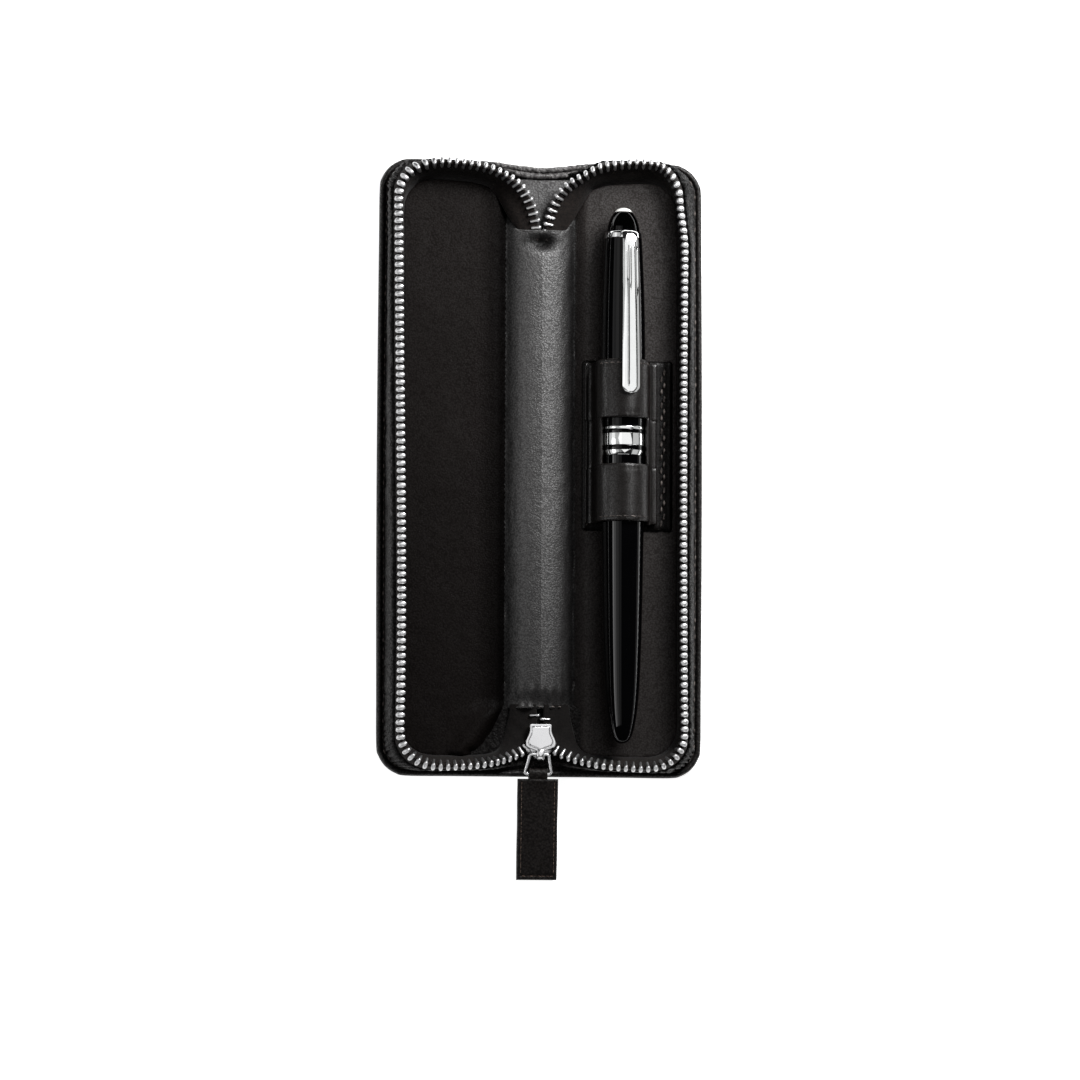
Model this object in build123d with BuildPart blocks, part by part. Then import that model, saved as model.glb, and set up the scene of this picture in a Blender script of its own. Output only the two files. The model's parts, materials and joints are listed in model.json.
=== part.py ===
"""Zip-round leather case for one fountain pen, lying open and flat like a book, pen in its loop.

Frame: millimetres, +Z up out of the open leather, +Y towards the pen's cap end, +X towards the
half that carries the pen. The origin is the centre of the spine's outer face, which lies on the
table. The case closes by two creases that run along Y, one on each side of the spine.
"Upper" zip parts lie at the +Y end of the spine, "lower" ones at the -Y end.
"""

from build123d import *
import math
import os

os.makedirs("parts", exist_ok=True)

# ---------------------------------------------------------------- driving dimensions (mm)
EDGE_X = 43.5          # spine centre to the outer long edge
HALF_L = 82.1          # centre to the short edges
CORNER_R = 8.3         # outer corner radius of each half
FOLD_X = 9.8           # spine centre to each crease
CREASE_GAP = 0.5       # half-gap left in the outer leather at each crease
GAP = 0.05             # clearance between touching pieces

COVER_T = 1.0          # outer leather
RIM_W = 1.6            # turned edge of the outer leather
RIM_TOP = 2.6
RIM_FILLET = 0.7
BOARD_T = 0.8          # stiffener board
BOARD_RIM_GAP = 0.1
BOARD_FOLD_GAP = 1.4   # crease to the board
BOARD_CORNER_R = 0.6   # at the crease side
LINING_T = 0.6         # lining leather
LINING_FOLD_GAP = 2.6  # crease to the lining
BOARD_TOP = COVER_T + BOARD_T
LINING_TOP = BOARD_TOP + LINING_T

WALL_X = 37.1          # zip tape centre line, long side
WALL_Y = 79.0          # zip tape centre line, short sides
WALL_R = 8.6           # its corner radius
WALL_END_X = 16.0      # where the standing wall stops short of the crease
TAPE_T = 0.7
GUSSET_T = 1.1
GUSSET_TOP = 7.2
TAPE_EDGE_Z = 9.8      # tooth origin height, just above the standing tape

TOOTH_PITCH = 1.952
CHAIN_Z = 3.4          # mid-plane of the chain where it lies flat on the spine
CHAIN_OPEN = 1.0       # spine centre to a tooth origin in the closed chain

SLIDER_Y0, SLIDER_Y1 = -74.5, -67.3
BAIL_Y, BAIL_Z = -76.2, 4.7
BAR_Y, BAR_Z = -81.4, 3.9
LINK_R = 0.5           # wire radius of the pull link

PEN_X, PEN_Y, PEN_Z = 21.1, -0.5, 9.25   # pen axis; PEN_Y shifts the whole pen along it


# ---------------------------------------------------------------- helpers
def half_outline(x_inner, inset, edge_x=EDGE_X, half_l=HALF_L, corner_r=CORNER_R):
    """Outline of the right half, moved in by inset: square at the crease, round outside."""
    x1, y1, radius = edge_x - inset, half_l - inset, corner_r - inset
    with BuildSketch() as outline:
        with BuildLine():
            Line((x_inner, -y1), (x1 - radius, -y1))
            RadiusArc((x1 - radius, -y1), (x1, -y1 + radius), -radius)
            Line((x1, -y1 + radius), (x1, y1 - radius))
            RadiusArc((x1, y1 - radius), (x1 - radius, y1), -radius)
            Polyline((x1 - radius, y1), (x_inner, y1), (x_inner, -y1))
        make_face()
    return outline.sketch


def wall_edge(offset):
    """The zip line of the right half, moved outwards by offset, as edges of the active line."""
    x1, y1, radius = WALL_X + offset, WALL_Y + offset, WALL_R + offset
    Line((WALL_END_X, y1), (x1 - radius, y1))
    RadiusArc((x1 - radius, y1), (x1, y1 - radius), radius)
    Line((x1, y1 - radius), (x1, -y1 + radius))
    RadiusArc((x1, -y1 + radius), (x1 - radius, -y1), radius)
    Line((x1 - radius, -y1), (WALL_END_X, -y1))


def wall_strip(z0, z1, inner, outer):
    """U-shaped wall round the right half's zipped sides, between two offsets of the zip line."""
    with BuildPart() as wall:
        with BuildSketch(Plane.XY.offset(z0)):
            with BuildLine():
                wall_edge(outer)
                wall_edge(inner)
                Line((WALL_END_X, WALL_Y + inner), (WALL_END_X, WALL_Y + outer))
                Line((WALL_END_X, -WALL_Y - inner), (WALL_END_X, -WALL_Y - outer))
            make_face()
        extrude(amount=z1 - z0)
    return wall


END_RUN = WALL_X - WALL_R - WALL_END_X     # straight run along each short side
CORNER_RUN = WALL_R * math.pi / 2
SIDE_RUN = 2 * (WALL_Y - WALL_R)
WALL_LENGTH = 2 * END_RUN + 2 * CORNER_RUN + SIDE_RUN


def wall_point(run, offset):
    """(x, y, heading in degrees) at arc length run along the right zip line from its +Y end."""
    if run <= END_RUN:
        return WALL_END_X + run, WALL_Y + offset, 0.0
    run -= END_RUN
    centre_x, centre_y = WALL_X - WALL_R, WALL_Y - WALL_R
    radius = WALL_R + offset
    if run <= CORNER_RUN:
        turn = run / WALL_R
        return (centre_x + radius * math.sin(turn), centre_y + radius * math.cos(turn),
                -math.degrees(turn))
    run -= CORNER_RUN
    if run <= SIDE_RUN:
        return WALL_X + offset, centre_y - run, -90.0
    run -= SIDE_RUN
    if run <= CORNER_RUN:
        turn = run / WALL_R
        return (centre_x + radius * math.cos(turn), -centre_y - radius * math.sin(turn),
                -90.0 - math.degrees(turn))
    run -= CORNER_RUN
    return centre_x - run, -WALL_Y - offset, 180.0


def wall_location(side, run, z, offset=0.0):
    """Place on the zip line of the right (side 1) or left (side -1) half, X along the line."""
    x, y, heading = wall_point(run, offset)
    return Location((side * x, y, z), (0, 0, side * heading))


def mirrored(source):
    """The same piece for the left half."""
    with BuildPart() as piece:
        add(mirror(source.part, about=Plane.YZ))
    return piece


# ---------------------------------------------------------------- right half's leather and board
with BuildPart() as right_cover:
    with BuildSketch():
        add(half_outline(FOLD_X + CREASE_GAP, 0))
    extrude(amount=RIM_TOP)
    # Round the top edges, all but the one at the crease.
    fillet(
        right_cover.edges()
        .filter_by(Axis.Z, reverse=True)
        .filter_by_position(Axis.X, FOLD_X + 1, EDGE_X + 1)
        .group_by(Axis.Z)[-1],
        RIM_FILLET,
    )
    with BuildSketch(Plane.XY.offset(COVER_T)):
        add(half_outline(FOLD_X, RIM_W))
    extrude(amount=RIM_TOP, mode=Mode.SUBTRACT)

with BuildPart() as right_board:
    with BuildSketch(Plane.XY.offset(COVER_T)):
        add(half_outline(FOLD_X + BOARD_FOLD_GAP, RIM_W + BOARD_RIM_GAP))
    extrude(amount=BOARD_T)
    fillet(right_board.edges().filter_by(Axis.Z).sort_by(Axis.X)[:2], BOARD_CORNER_R)

with BuildPart() as right_lining:
    with BuildSketch(Plane.XY.offset(BOARD_TOP)):
        add(half_outline(FOLD_X + LINING_FOLD_GAP, TAPE_T / 2 + GAP, WALL_X, WALL_Y, WALL_R))
    extrude(amount=LINING_T)

right_gusset = wall_strip(BOARD_TOP, GUSSET_TOP, TAPE_T / 2, TAPE_T / 2 + GUSSET_T)
right_zip_tape = wall_strip(BOARD_TOP, TAPE_EDGE_Z - GAP, -TAPE_T / 2, TAPE_T / 2)

# ---------------------------------------------------------------- spine
SPINE_HALF_W = 9.3
END_PAD_L, END_PAD_T = 4.8, 0.8        # thicker leather at each end of the spine
END_PAD_SIDE_GAP = 1.3
ARCH_HALF_W = 8.2
ARCH_TOP = 5.1
ARCH_T = 0.7                           # lining thickness at the top of the arch
ARCH_FOOT_W = 0.9
ARCH_Y0, ARCH_Y1 = -63.9, 61.5
SPINE_BOARD_L, SPINE_BOARD_T = 114.0, 0.6
SPINE_BOARD_SIDE_GAP = 1.7             # arch's outer foot to the board
SPINE_BOARD_R = 1.0

with BuildPart() as spine_cover:
    with BuildSketch():
        Rectangle(2 * SPINE_HALF_W, 2 * HALF_L)
    extrude(amount=COVER_T)
    with BuildSketch(Plane.XY.offset(COVER_T)):
        with Locations((0, HALF_L - END_PAD_L / 2), (0, -HALF_L + END_PAD_L / 2)):
            Rectangle(2 * (SPINE_HALF_W - END_PAD_SIDE_GAP), END_PAD_L)
    extrude(amount=END_PAD_T)

with BuildPart() as spine_board:
    with BuildSketch(Plane.XY.offset(COVER_T)):
        RectangleRounded(2 * (ARCH_HALF_W - SPINE_BOARD_SIDE_GAP), SPINE_BOARD_L, SPINE_BOARD_R)
    extrude(amount=SPINE_BOARD_T)

# The lining over the spine bows up when the case lies open.
with BuildPart() as spine_lining:
    foot_x = ARCH_HALF_W - ARCH_FOOT_W
    with BuildSketch(Plane.XZ.offset(-ARCH_Y1)):
        with BuildLine():
            ThreePointArc((-ARCH_HALF_W, COVER_T), (0, ARCH_TOP), (ARCH_HALF_W, COVER_T))
            Line((ARCH_HALF_W, COVER_T), (foot_x, COVER_T))
            ThreePointArc((foot_x, COVER_T), (0, ARCH_TOP - ARCH_T), (-foot_x, COVER_T))
            Line((-foot_x, COVER_T), (-ARCH_HALF_W, COVER_T))
        make_face()
    extrude(amount=ARCH_Y1 - ARCH_Y0)

# ---------------------------------------------------------------- zip teeth
# One tooth: origin at the tape's edge, head up +Z, chain along X, tape thickness along Y.
TOOTH_LEG_W = 1.3      # along the chain
TOOTH_HEAD_W = 0.8
LEG_Y = 0.95           # half depth across the tape
HEAD_Y = 0.8
SLOT_Y = 0.4           # half width of the slot between the legs
LEG_LOW = -1.1
SHOULDER = 0.3
SHOULDER_CUT = 0.35    # bevel at each shoulder
HEAD_OVERLAP = 0.1     # head runs this far down into the legs
TOOTH_TIP = 1.6
TIP_RISE = 0.5         # height of the rounded tip

with BuildPart() as tooth:
    with BuildSketch(Plane.YZ):
        with BuildLine():
            Polyline(
                (-LEG_Y, LEG_LOW),
                (-LEG_Y, SHOULDER - SHOULDER_CUT),
                (-LEG_Y + SHOULDER_CUT, SHOULDER),
                (LEG_Y - SHOULDER_CUT, SHOULDER),
                (LEG_Y, SHOULDER - SHOULDER_CUT),
                (LEG_Y, LEG_LOW),
                (SLOT_Y, LEG_LOW),
                (SLOT_Y, 0),
                (-SLOT_Y, 0),
                (-SLOT_Y, LEG_LOW),
                close=True,
            )
        make_face()
    extrude(amount=TOOTH_LEG_W / 2, both=True)
    head_low, head_high = SHOULDER - HEAD_OVERLAP, TOOTH_TIP - TIP_RISE
    with BuildSketch(Plane.YZ):
        with BuildLine():
            Line((HEAD_Y, head_low), (HEAD_Y, head_high))
            ThreePointArc((HEAD_Y, head_high), (0, TOOTH_TIP), (-HEAD_Y, head_high))
            Polyline((-HEAD_Y, head_high), (-HEAD_Y, head_low), (HEAD_Y, head_low))
        make_face()
    extrude(amount=TOOTH_HEAD_W / 2, both=True)


def chain(places):
    with BuildPart() as teeth:
        with Locations(*places):
            add(tooth.part)
    return teeth


WALL_CHAIN_MARGIN = 1.6    # wall length kept free when counting the teeth


def wall_teeth(side):
    """Standing teeth of one half, a quarter pitch off centre so that the halves mesh."""
    count = int((WALL_LENGTH - WALL_CHAIN_MARGIN) / TOOTH_PITCH)
    start = (WALL_LENGTH - (count - 1) * TOOTH_PITCH) / 2 - side * TOOTH_PITCH / 4
    return chain([wall_location(side, start + i * TOOTH_PITCH, TAPE_EDGE_Z)
                  for i in range(count)])


def flat_tooth(x, y, head_deg):
    """Place of a tooth lying flat at the spine's chain height, its head at head_deg in plan."""
    head_x, head_y = math.cos(math.radians(head_deg)), math.sin(math.radians(head_deg))
    return Plane(origin=(x, y, CHAIN_Z), x_dir=(-head_y, head_x, 0),
                 z_dir=(head_x, head_y, 0)).location


# Closed length of chain between the bottom stop and the slider.
CLOSED_Y, CLOSED_COUNT = -64.6, 5
lower_places = []
for i in range(CLOSED_COUNT):
    side = -1 if i % 2 else 1
    lower_places.append(
        flat_tooth(side * CHAIN_OPEN, CLOSED_Y - i * TOOTH_PITCH / 2, 90 + 90 * side))
# The two chains where they part beyond the slider.
PARTED_X, PARTED_Y, PARTED_COUNT = 3.6, -74.95, 3
PARTED_STEP_X, PARTED_STEP_Y = 1.857, -0.601
PARTED_TILT = 18           # degrees the heads lean outwards from... -Y, mirrored by side
for i in range(PARTED_COUNT):
    x, y = PARTED_X + PARTED_STEP_X * i, PARTED_Y + PARTED_STEP_Y * i
    for side in (1, -1):
        lower_places.append(flat_tooth(side * x, y, -90 - PARTED_TILT * side))
lower_zip_teeth = chain(lower_places)

# The V at the cap end, where the two chains meet at the top stop.
V_X0, V_Y0, V_X1, V_Y1 = 1.35, 62.9, 6.3, 74.2     # right arm, from its foot to its far end
V_COUNT = 7
v_length = math.hypot(V_X1 - V_X0, V_Y1 - V_Y0)
v_dir_x, v_dir_y = (V_X1 - V_X0) / v_length, (V_Y1 - V_Y0) / v_length
v_angle = math.degrees(math.atan2(v_dir_y, v_dir_x))


def v_tooth(side, run):
    """Place of a tooth at distance run from the foot of one arm of the V."""
    return flat_tooth(side * (V_X0 + v_dir_x * run), V_Y0 + v_dir_y * run, 90 + side * v_angle)


upper_places = []
for i in range(V_COUNT):
    upper_places.append(v_tooth(1, i * TOOTH_PITCH))
    if i > 0:
        upper_places.append(v_tooth(-1, (i - 0.5) * TOOTH_PITCH))
upper_zip_teeth = chain(upper_places)


# ---------------------------------------------------------------- zip tape lying on the spine
def flat_tapes(outline):
    """Flat tape with the given right-hand (x, y) outline, and its mirror image."""
    with BuildPart() as tapes:
        with BuildSketch(Plane.XY.offset(CHAIN_Z - TAPE_T / 2)):
            for side in (1, -1):
                with BuildLine():
                    Polyline(*[(side * x, y) for x, y in outline], close=True)
                make_face()
        extrude(amount=TAPE_T)
    return tapes


TAIL_X = 3.25                          # outer edge of the narrow tail by each stop
UPPER_TAPE_X = 7.9
UPPER_TAIL_Y0, UPPER_TAIL_Y1 = V_Y0 - 3.4, V_Y0 - 1.2
upper_zip_tape = flat_tapes([
    (V_X0 + GAP, UPPER_TAIL_Y0),
    (V_X0 + GAP, V_Y0),
    (V_X1 + GAP * v_dir_y, V_Y1 - GAP * v_dir_x),
    (UPPER_TAPE_X, V_Y1 - 0.5),
    (UPPER_TAPE_X, UPPER_TAIL_Y1),
    (TAIL_X, UPPER_TAIL_Y1),
    (TAIL_X, UPPER_TAIL_Y0),
])

LOWER_TAPE_X = 8.15
LOWER_TAIL_Y0, LOWER_TAIL_Y1 = -64.6, -62.2
lower_zip_tape = flat_tapes([
    (CHAIN_OPEN + GAP, LOWER_TAIL_Y1),
    (CHAIN_OPEN + GAP, -70.6),
    (2.9, -74.7),
    (LOWER_TAPE_X, -76.4),
    (LOWER_TAPE_X, LOWER_TAIL_Y0),
    (TAIL_X, LOWER_TAIL_Y0),
    (TAIL_X, LOWER_TAIL_Y1),
])

STOP_W, STOP_H = 4.6, 1.6
STOP_DROP = 1.0                        # chain mid-plane to the stop's underside
STOP_SLOT_W, STOP_SLOT_L = 2.0, 2.2


def chain_stop(y, length, corner_r, slot_x):
    """Block across both tapes, slotted at slot_x on each side to take them."""
    with BuildPart() as stop:
        with BuildSketch(Plane.XY.offset(CHAIN_Z - STOP_DROP)):
            with Locations((0, y)):
                RectangleRounded(STOP_W, length, corner_r)
        extrude(amount=STOP_H)
        with BuildSketch(Plane.XY.offset(CHAIN_Z - TAPE_T / 2 - GAP)):
            with Locations((slot_x, y), (-slot_x, y)):
                Rectangle(STOP_SLOT_W, STOP_SLOT_L)
        extrude(amount=TAPE_T + 2 * GAP, mode=Mode.SUBTRACT)
    return stop


top_stop = chain_stop(y=60.75, length=1.7, corner_r=0.5, slot_x=2.3)
bottom_stop = chain_stop(y=-63.1, length=1.4, corner_r=0.4, slot_x=2.0)

# ---------------------------------------------------------------- slider
LOWER_PLATE_Z, LOWER_PLATE_T = 1.35, 0.75
UPPER_PLATE_Z, UPPER_PLATE_T = 4.7, 0.8
UPPER_PLATE_TOP = UPPER_PLATE_Z + UPPER_PLATE_T
FLANGE_H = 0.75
WEDGE_Z, WEDGE_H = 2.0, 2.9
BAIL_HALF_W = 1.25
BORE_CLEARANCE = 0.08
BORE_REACH = 3                         # half length of the bore's cutter
SHIELD_Z, SHIELD_T = 5.52, 0.75
SHIELD_INSET, SHIELD_CHAMFER = 0.25, 0.3
NOSE_HALF_W = 0.9
# Right side of the plates' shield outline: x, y from SLIDER_Y1.
PLATE_SIDE = [(2.95, 0), (2.85, -1.9), (3.93, -4.5), (3.1, -6.0)]
# Right flange: its outer edge is the plates', then its inner edge; same columns.
FLANGE_OUTLINE = [(2.25, 0), *PLATE_SIDE[:3], (3.3, -4.7), (2.2, -1.9)]


def slider_plan(inset=0.0):
    """Shield outline of the slider's plates."""
    right = [(x - inset, SLIDER_Y1 - inset + y) for x, y in PLATE_SIDE]
    right.append((NOSE_HALF_W, SLIDER_Y0 + inset))
    with BuildSketch() as plan:
        with BuildLine():
            Polyline(*right, *[(-x, y) for x, y in reversed(right)], close=True)
        make_face()
    return plan.sketch


with BuildPart() as slider_body:
    with BuildSketch(Plane.XY.offset(LOWER_PLATE_Z)):
        add(slider_plan())
    extrude(amount=LOWER_PLATE_T)
    with BuildSketch(Plane.XY.offset(UPPER_PLATE_Z)):
        add(slider_plan())
    extrude(amount=UPPER_PLATE_T)
    # Flanges that wrap the chain, with a slit between them for each tape.
    for z in (LOWER_PLATE_Z + LOWER_PLATE_T, UPPER_PLATE_Z - FLANGE_H):
        with BuildSketch(Plane.XY.offset(z)):
            for side in (1, -1):
                with BuildLine():
                    Polyline(*[(side * x, SLIDER_Y1 + y) for x, y in FLANGE_OUTLINE], close=True)
                make_face()
        extrude(amount=FLANGE_H)
    # Wedge that parts the two chains.
    with BuildSketch(Plane.XY.offset(WEDGE_Z)):
        with BuildLine():
            Polyline(
                (0, SLIDER_Y0 + 3.2),
                (0.85, SLIDER_Y0 + 0.9),
                (0.6, SLIDER_Y0),
                (-0.6, SLIDER_Y0),
                (-0.85, SLIDER_Y0 + 0.9),
                close=True,
            )
        make_face()
    extrude(amount=WEDGE_H)
    # Bail with the bore the pull link hangs in.
    with BuildSketch(Plane.YZ):
        with BuildLine():
            Polyline(
                (SLIDER_Y0 + 0.4, UPPER_PLATE_Z),
                (SLIDER_Y0 + 0.4, UPPER_PLATE_TOP),
                (BAIL_Y + 0.6, 5.75),
                (BAIL_Y - 0.5, 5.75),
                (BAIL_Y - 1.15, 5.1),
                (BAIL_Y - 1.15, 4.2),
                (BAIL_Y - 0.5, 3.6),
                (BAIL_Y + 0.6, 3.6),
                (SLIDER_Y0 + 0.4, 3.9),
                close=True,
            )
        make_face()
    extrude(amount=BAIL_HALF_W, both=True)
    with BuildSketch(Plane.YZ):
        with Locations((BAIL_Y, BAIL_Z)):
            Circle(LINK_R + BORE_CLEARANCE)
    extrude(amount=BORE_REACH, both=True, mode=Mode.SUBTRACT)

with BuildPart() as slider_shield:
    with BuildSketch(Plane.XY.offset(SHIELD_Z)):
        add(slider_plan(SHIELD_INSET))
    extrude(amount=SHIELD_T)
    chamfer(slider_shield.faces().sort_by(Axis.Z)[-1].edges(), SHIELD_CHAMFER)

# ---------------------------------------------------------------- pull link and leather pull tab
LINK_TOP_HALF, LINK_BAR_HALF = 2.6, 3.7    # half widths at the bail and at the tab
LINK_BEND_R = 0.85
TAB_W, TAB_T, TAB_LEN = 10.6, 2.2, 26.4
TAB_CORNER_R = 0.5
TAB_START = 1.5                            # bar to the tab's wide part
TAB_SLOPE = 5.1                            # degrees it falls towards -Y
NECK_W, NECK_L, NECK_CENTRE = 4.9, 2.6, 1.2
NECK_R = 1.45                              # leather wrapped round the bar
BAR_CLEARANCE = 0.06

link_length = math.hypot(BAIL_Y - BAR_Y, BAIL_Z - BAR_Z)
link_up_y, link_up_z = (BAIL_Y - BAR_Y) / link_length, (BAIL_Z - BAR_Z) / link_length
link_plane = Plane(origin=(0, BAIL_Y, BAIL_Z), x_dir=(1, 0, 0), z_dir=(0, -link_up_z, link_up_y))
with BuildPart() as pull_link:
    with BuildLine(link_plane) as link_path:
        FilletPolyline(
            (-LINK_TOP_HALF, 0),
            (LINK_TOP_HALF, 0),
            (LINK_BAR_HALF, -link_length),
            (-LINK_BAR_HALF, -link_length),
            radius=LINK_BEND_R,
            close=True,
        )
    with BuildSketch(Plane(origin=link_path.line @ 0, z_dir=link_path.line % 0)):
        Circle(LINK_R)
    sweep()

slope = math.radians(TAB_SLOPE)
tab_plane = Plane(origin=(0, BAR_Y, BAR_Z), x_dir=(1, 0, 0),
                  z_dir=(0, -math.sin(slope), math.cos(slope)))
with BuildPart() as pull_tab:
    with BuildSketch(Plane.YZ):
        with Locations((BAR_Y, BAR_Z)):
            Circle(NECK_R)
    extrude(amount=NECK_W / 2, both=True)
    with BuildSketch(tab_plane.offset(-TAB_T / 2)):
        with Locations((0, -NECK_CENTRE)):
            Rectangle(NECK_W, NECK_L)
    extrude(amount=TAB_T)
    with BuildSketch(tab_plane.offset(-TAB_T / 2)):
        with Locations((0, -TAB_START - TAB_LEN / 2)):
            RectangleRounded(TAB_W, TAB_LEN, TAB_CORNER_R)
    extrude(amount=TAB_T)
    with BuildSketch(Plane.YZ):
        with Locations((BAR_Y, BAR_Z)):
            Circle(LINK_R + BAR_CLEARANCE)
    extrude(amount=NECK_W, both=True, mode=Mode.SUBTRACT)

# Stitches round three sides of the tab.
TAB_STITCH_L, TAB_STITCH_W, TAB_STITCH_H = 1.3, 0.35, 0.16
TAB_STITCH_PITCH = 1.9
TAB_STITCH_INSET = 1.0
TAB_STITCH_START = 3.0                     # bar to the first side stitch
SIDE_STITCHES, END_STITCHES = 13, 4
side_places = [
    (side * (TAB_W / 2 - TAB_STITCH_INSET), -TAB_STITCH_START - i * TAB_STITCH_PITCH)
    for i in range(SIDE_STITCHES) for side in (1, -1)
]
end_places = [
    ((i - (END_STITCHES - 1) / 2) * TAB_STITCH_PITCH, -TAB_START - TAB_LEN + TAB_STITCH_INSET)
    for i in range(END_STITCHES)
]
with BuildPart() as tab_thread:
    with BuildSketch(tab_plane.offset(TAB_T / 2)):
        with Locations(*side_places):
            Rectangle(TAB_STITCH_W, TAB_STITCH_L)
        with Locations(*end_places):
            Rectangle(TAB_STITCH_L, TAB_STITCH_W)
    extrude(amount=TAB_STITCH_H)

# ---------------------------------------------------------------- stitching of the gussets
SEAM_Z = 6.2
SEAM_PITCH = 3.0
SEAM_MARGIN = 2                            # free length at each end of the wall
SEAM_STANDOFF = 0.09                       # gusset face to the stitch's centre
SEAM_STITCH = (2.0, 0.16, 0.35)            # along the wall, out from it, up


def seam(side):
    count = int((WALL_LENGTH - 2 * SEAM_MARGIN) / SEAM_PITCH)
    offset = TAPE_T / 2 + GUSSET_T + SEAM_STANDOFF
    places = [wall_location(side, SEAM_MARGIN + i * SEAM_PITCH, SEAM_Z, offset)
              for i in range(count)]
    with BuildPart() as stitches:
        with Locations(*places):
            Box(*SEAM_STITCH)
    return stitches


# ---------------------------------------------------------------- pen loop
BACKING_X0, BACKING_X1, BACKING_Y0, BACKING_Y1 = 11.3, 35.1, -16.4, 28.6
BACKING_T, BACKING_R = 0.8, 0.8
BACKING_TOP = LINING_TOP + BACKING_T
LOOP_Y0, LOOP_Y1 = -15.0, 28.0
LOOP_IN_R, LOOP_T = 6.15, 1.0
LOOP_OUT_R = LOOP_IN_R + LOOP_T
FOOT_T, FOOT_INSET = 0.9, 0.4              # the loop's flat feet; inset from the backing's edges
FOOT_TOP = BACKING_TOP + FOOT_T
WINDOW_Y0, WINDOW_Y1 = 0.2, 12.4           # opening across the top of the loop
WINDOW_RISE = 2.6                          # pen axis to its lower edge

with BuildPart() as loop_backing:
    with BuildSketch(Plane.XY.offset(LINING_TOP)):
        with Locations(((BACKING_X0 + BACKING_X1) / 2, (BACKING_Y0 + BACKING_Y1) / 2)):
            RectangleRounded(BACKING_X1 - BACKING_X0, BACKING_Y1 - BACKING_Y0, BACKING_R)
    extrude(amount=BACKING_T)

with BuildPart() as pen_loop:
    out_x0, out_x1 = PEN_X - LOOP_OUT_R, PEN_X + LOOP_OUT_R
    in_x0, in_x1 = PEN_X - LOOP_IN_R, PEN_X + LOOP_IN_R
    foot_x0, foot_x1 = BACKING_X0 + FOOT_INSET, BACKING_X1 - FOOT_INSET
    with BuildSketch(Plane.XZ.offset(-LOOP_Y1)):
        with BuildLine():
            ThreePointArc((out_x0, PEN_Z), (PEN_X, PEN_Z + LOOP_OUT_R), (out_x1, PEN_Z))
            Polyline((out_x1, PEN_Z), (out_x1, FOOT_TOP), (foot_x1, FOOT_TOP),
                     (foot_x1, BACKING_TOP), (in_x1, BACKING_TOP), (in_x1, PEN_Z))
            ThreePointArc((in_x1, PEN_Z), (PEN_X, PEN_Z + LOOP_IN_R), (in_x0, PEN_Z))
            Polyline((in_x0, PEN_Z), (in_x0, BACKING_TOP), (foot_x0, BACKING_TOP),
                     (foot_x0, FOOT_TOP), (out_x0, FOOT_TOP), (out_x0, PEN_Z))
        make_face()
    extrude(amount=LOOP_Y1 - LOOP_Y0)
    with BuildSketch(Plane.XY.offset(PEN_Z + WINDOW_RISE)):
        with Locations((PEN_X, (WINDOW_Y0 + WINDOW_Y1) / 2)):
            Rectangle(2 * LOOP_OUT_R + 1, WINDOW_Y1 - WINDOW_Y0)
    extrude(amount=10, mode=Mode.SUBTRACT)

# One row of stitches along each foot.
LOOP_STITCHES, LOOP_STITCH_PITCH, LOOP_STITCH_START = 14, 3.05, 1.6
LOOP_STITCH_W, LOOP_STITCH_L, LOOP_STITCH_H = 0.4, 2.0, 0.18
loop_stitch_places = [
    (x, LOOP_Y0 + LOOP_STITCH_START + i * LOOP_STITCH_PITCH)
    for i in range(LOOP_STITCHES) for x in (BACKING_X0 + 1.5, BACKING_X1 - 2.0)
]
with BuildPart() as loop_thread:
    with BuildSketch(Plane.XY.offset(FOOT_TOP)):
        with Locations(*loop_stitch_places):
            Rectangle(LOOP_STITCH_W, LOOP_STITCH_L)
    extrude(amount=LOOP_STITCH_H)

# ---------------------------------------------------------------- pen
# Profiles are (radius, y) points, y measured from PEN_Y, turned about the pen's axis.
pen_plane = Plane(origin=(PEN_X, PEN_Y, PEN_Z), x_dir=(1, 0, 0), z_dir=(0, 0, 1))
pen_axis = Axis((PEN_X, 0, PEN_Z), (0, 1, 0))


def turned(profile):
    """A solid of revolution about the pen's axis."""
    with BuildPart() as piece:
        with BuildSketch(pen_plane):
            with BuildLine():
                Polyline(*profile, close=True)
            make_face()
        revolve(axis=pen_axis)
    return piece


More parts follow.
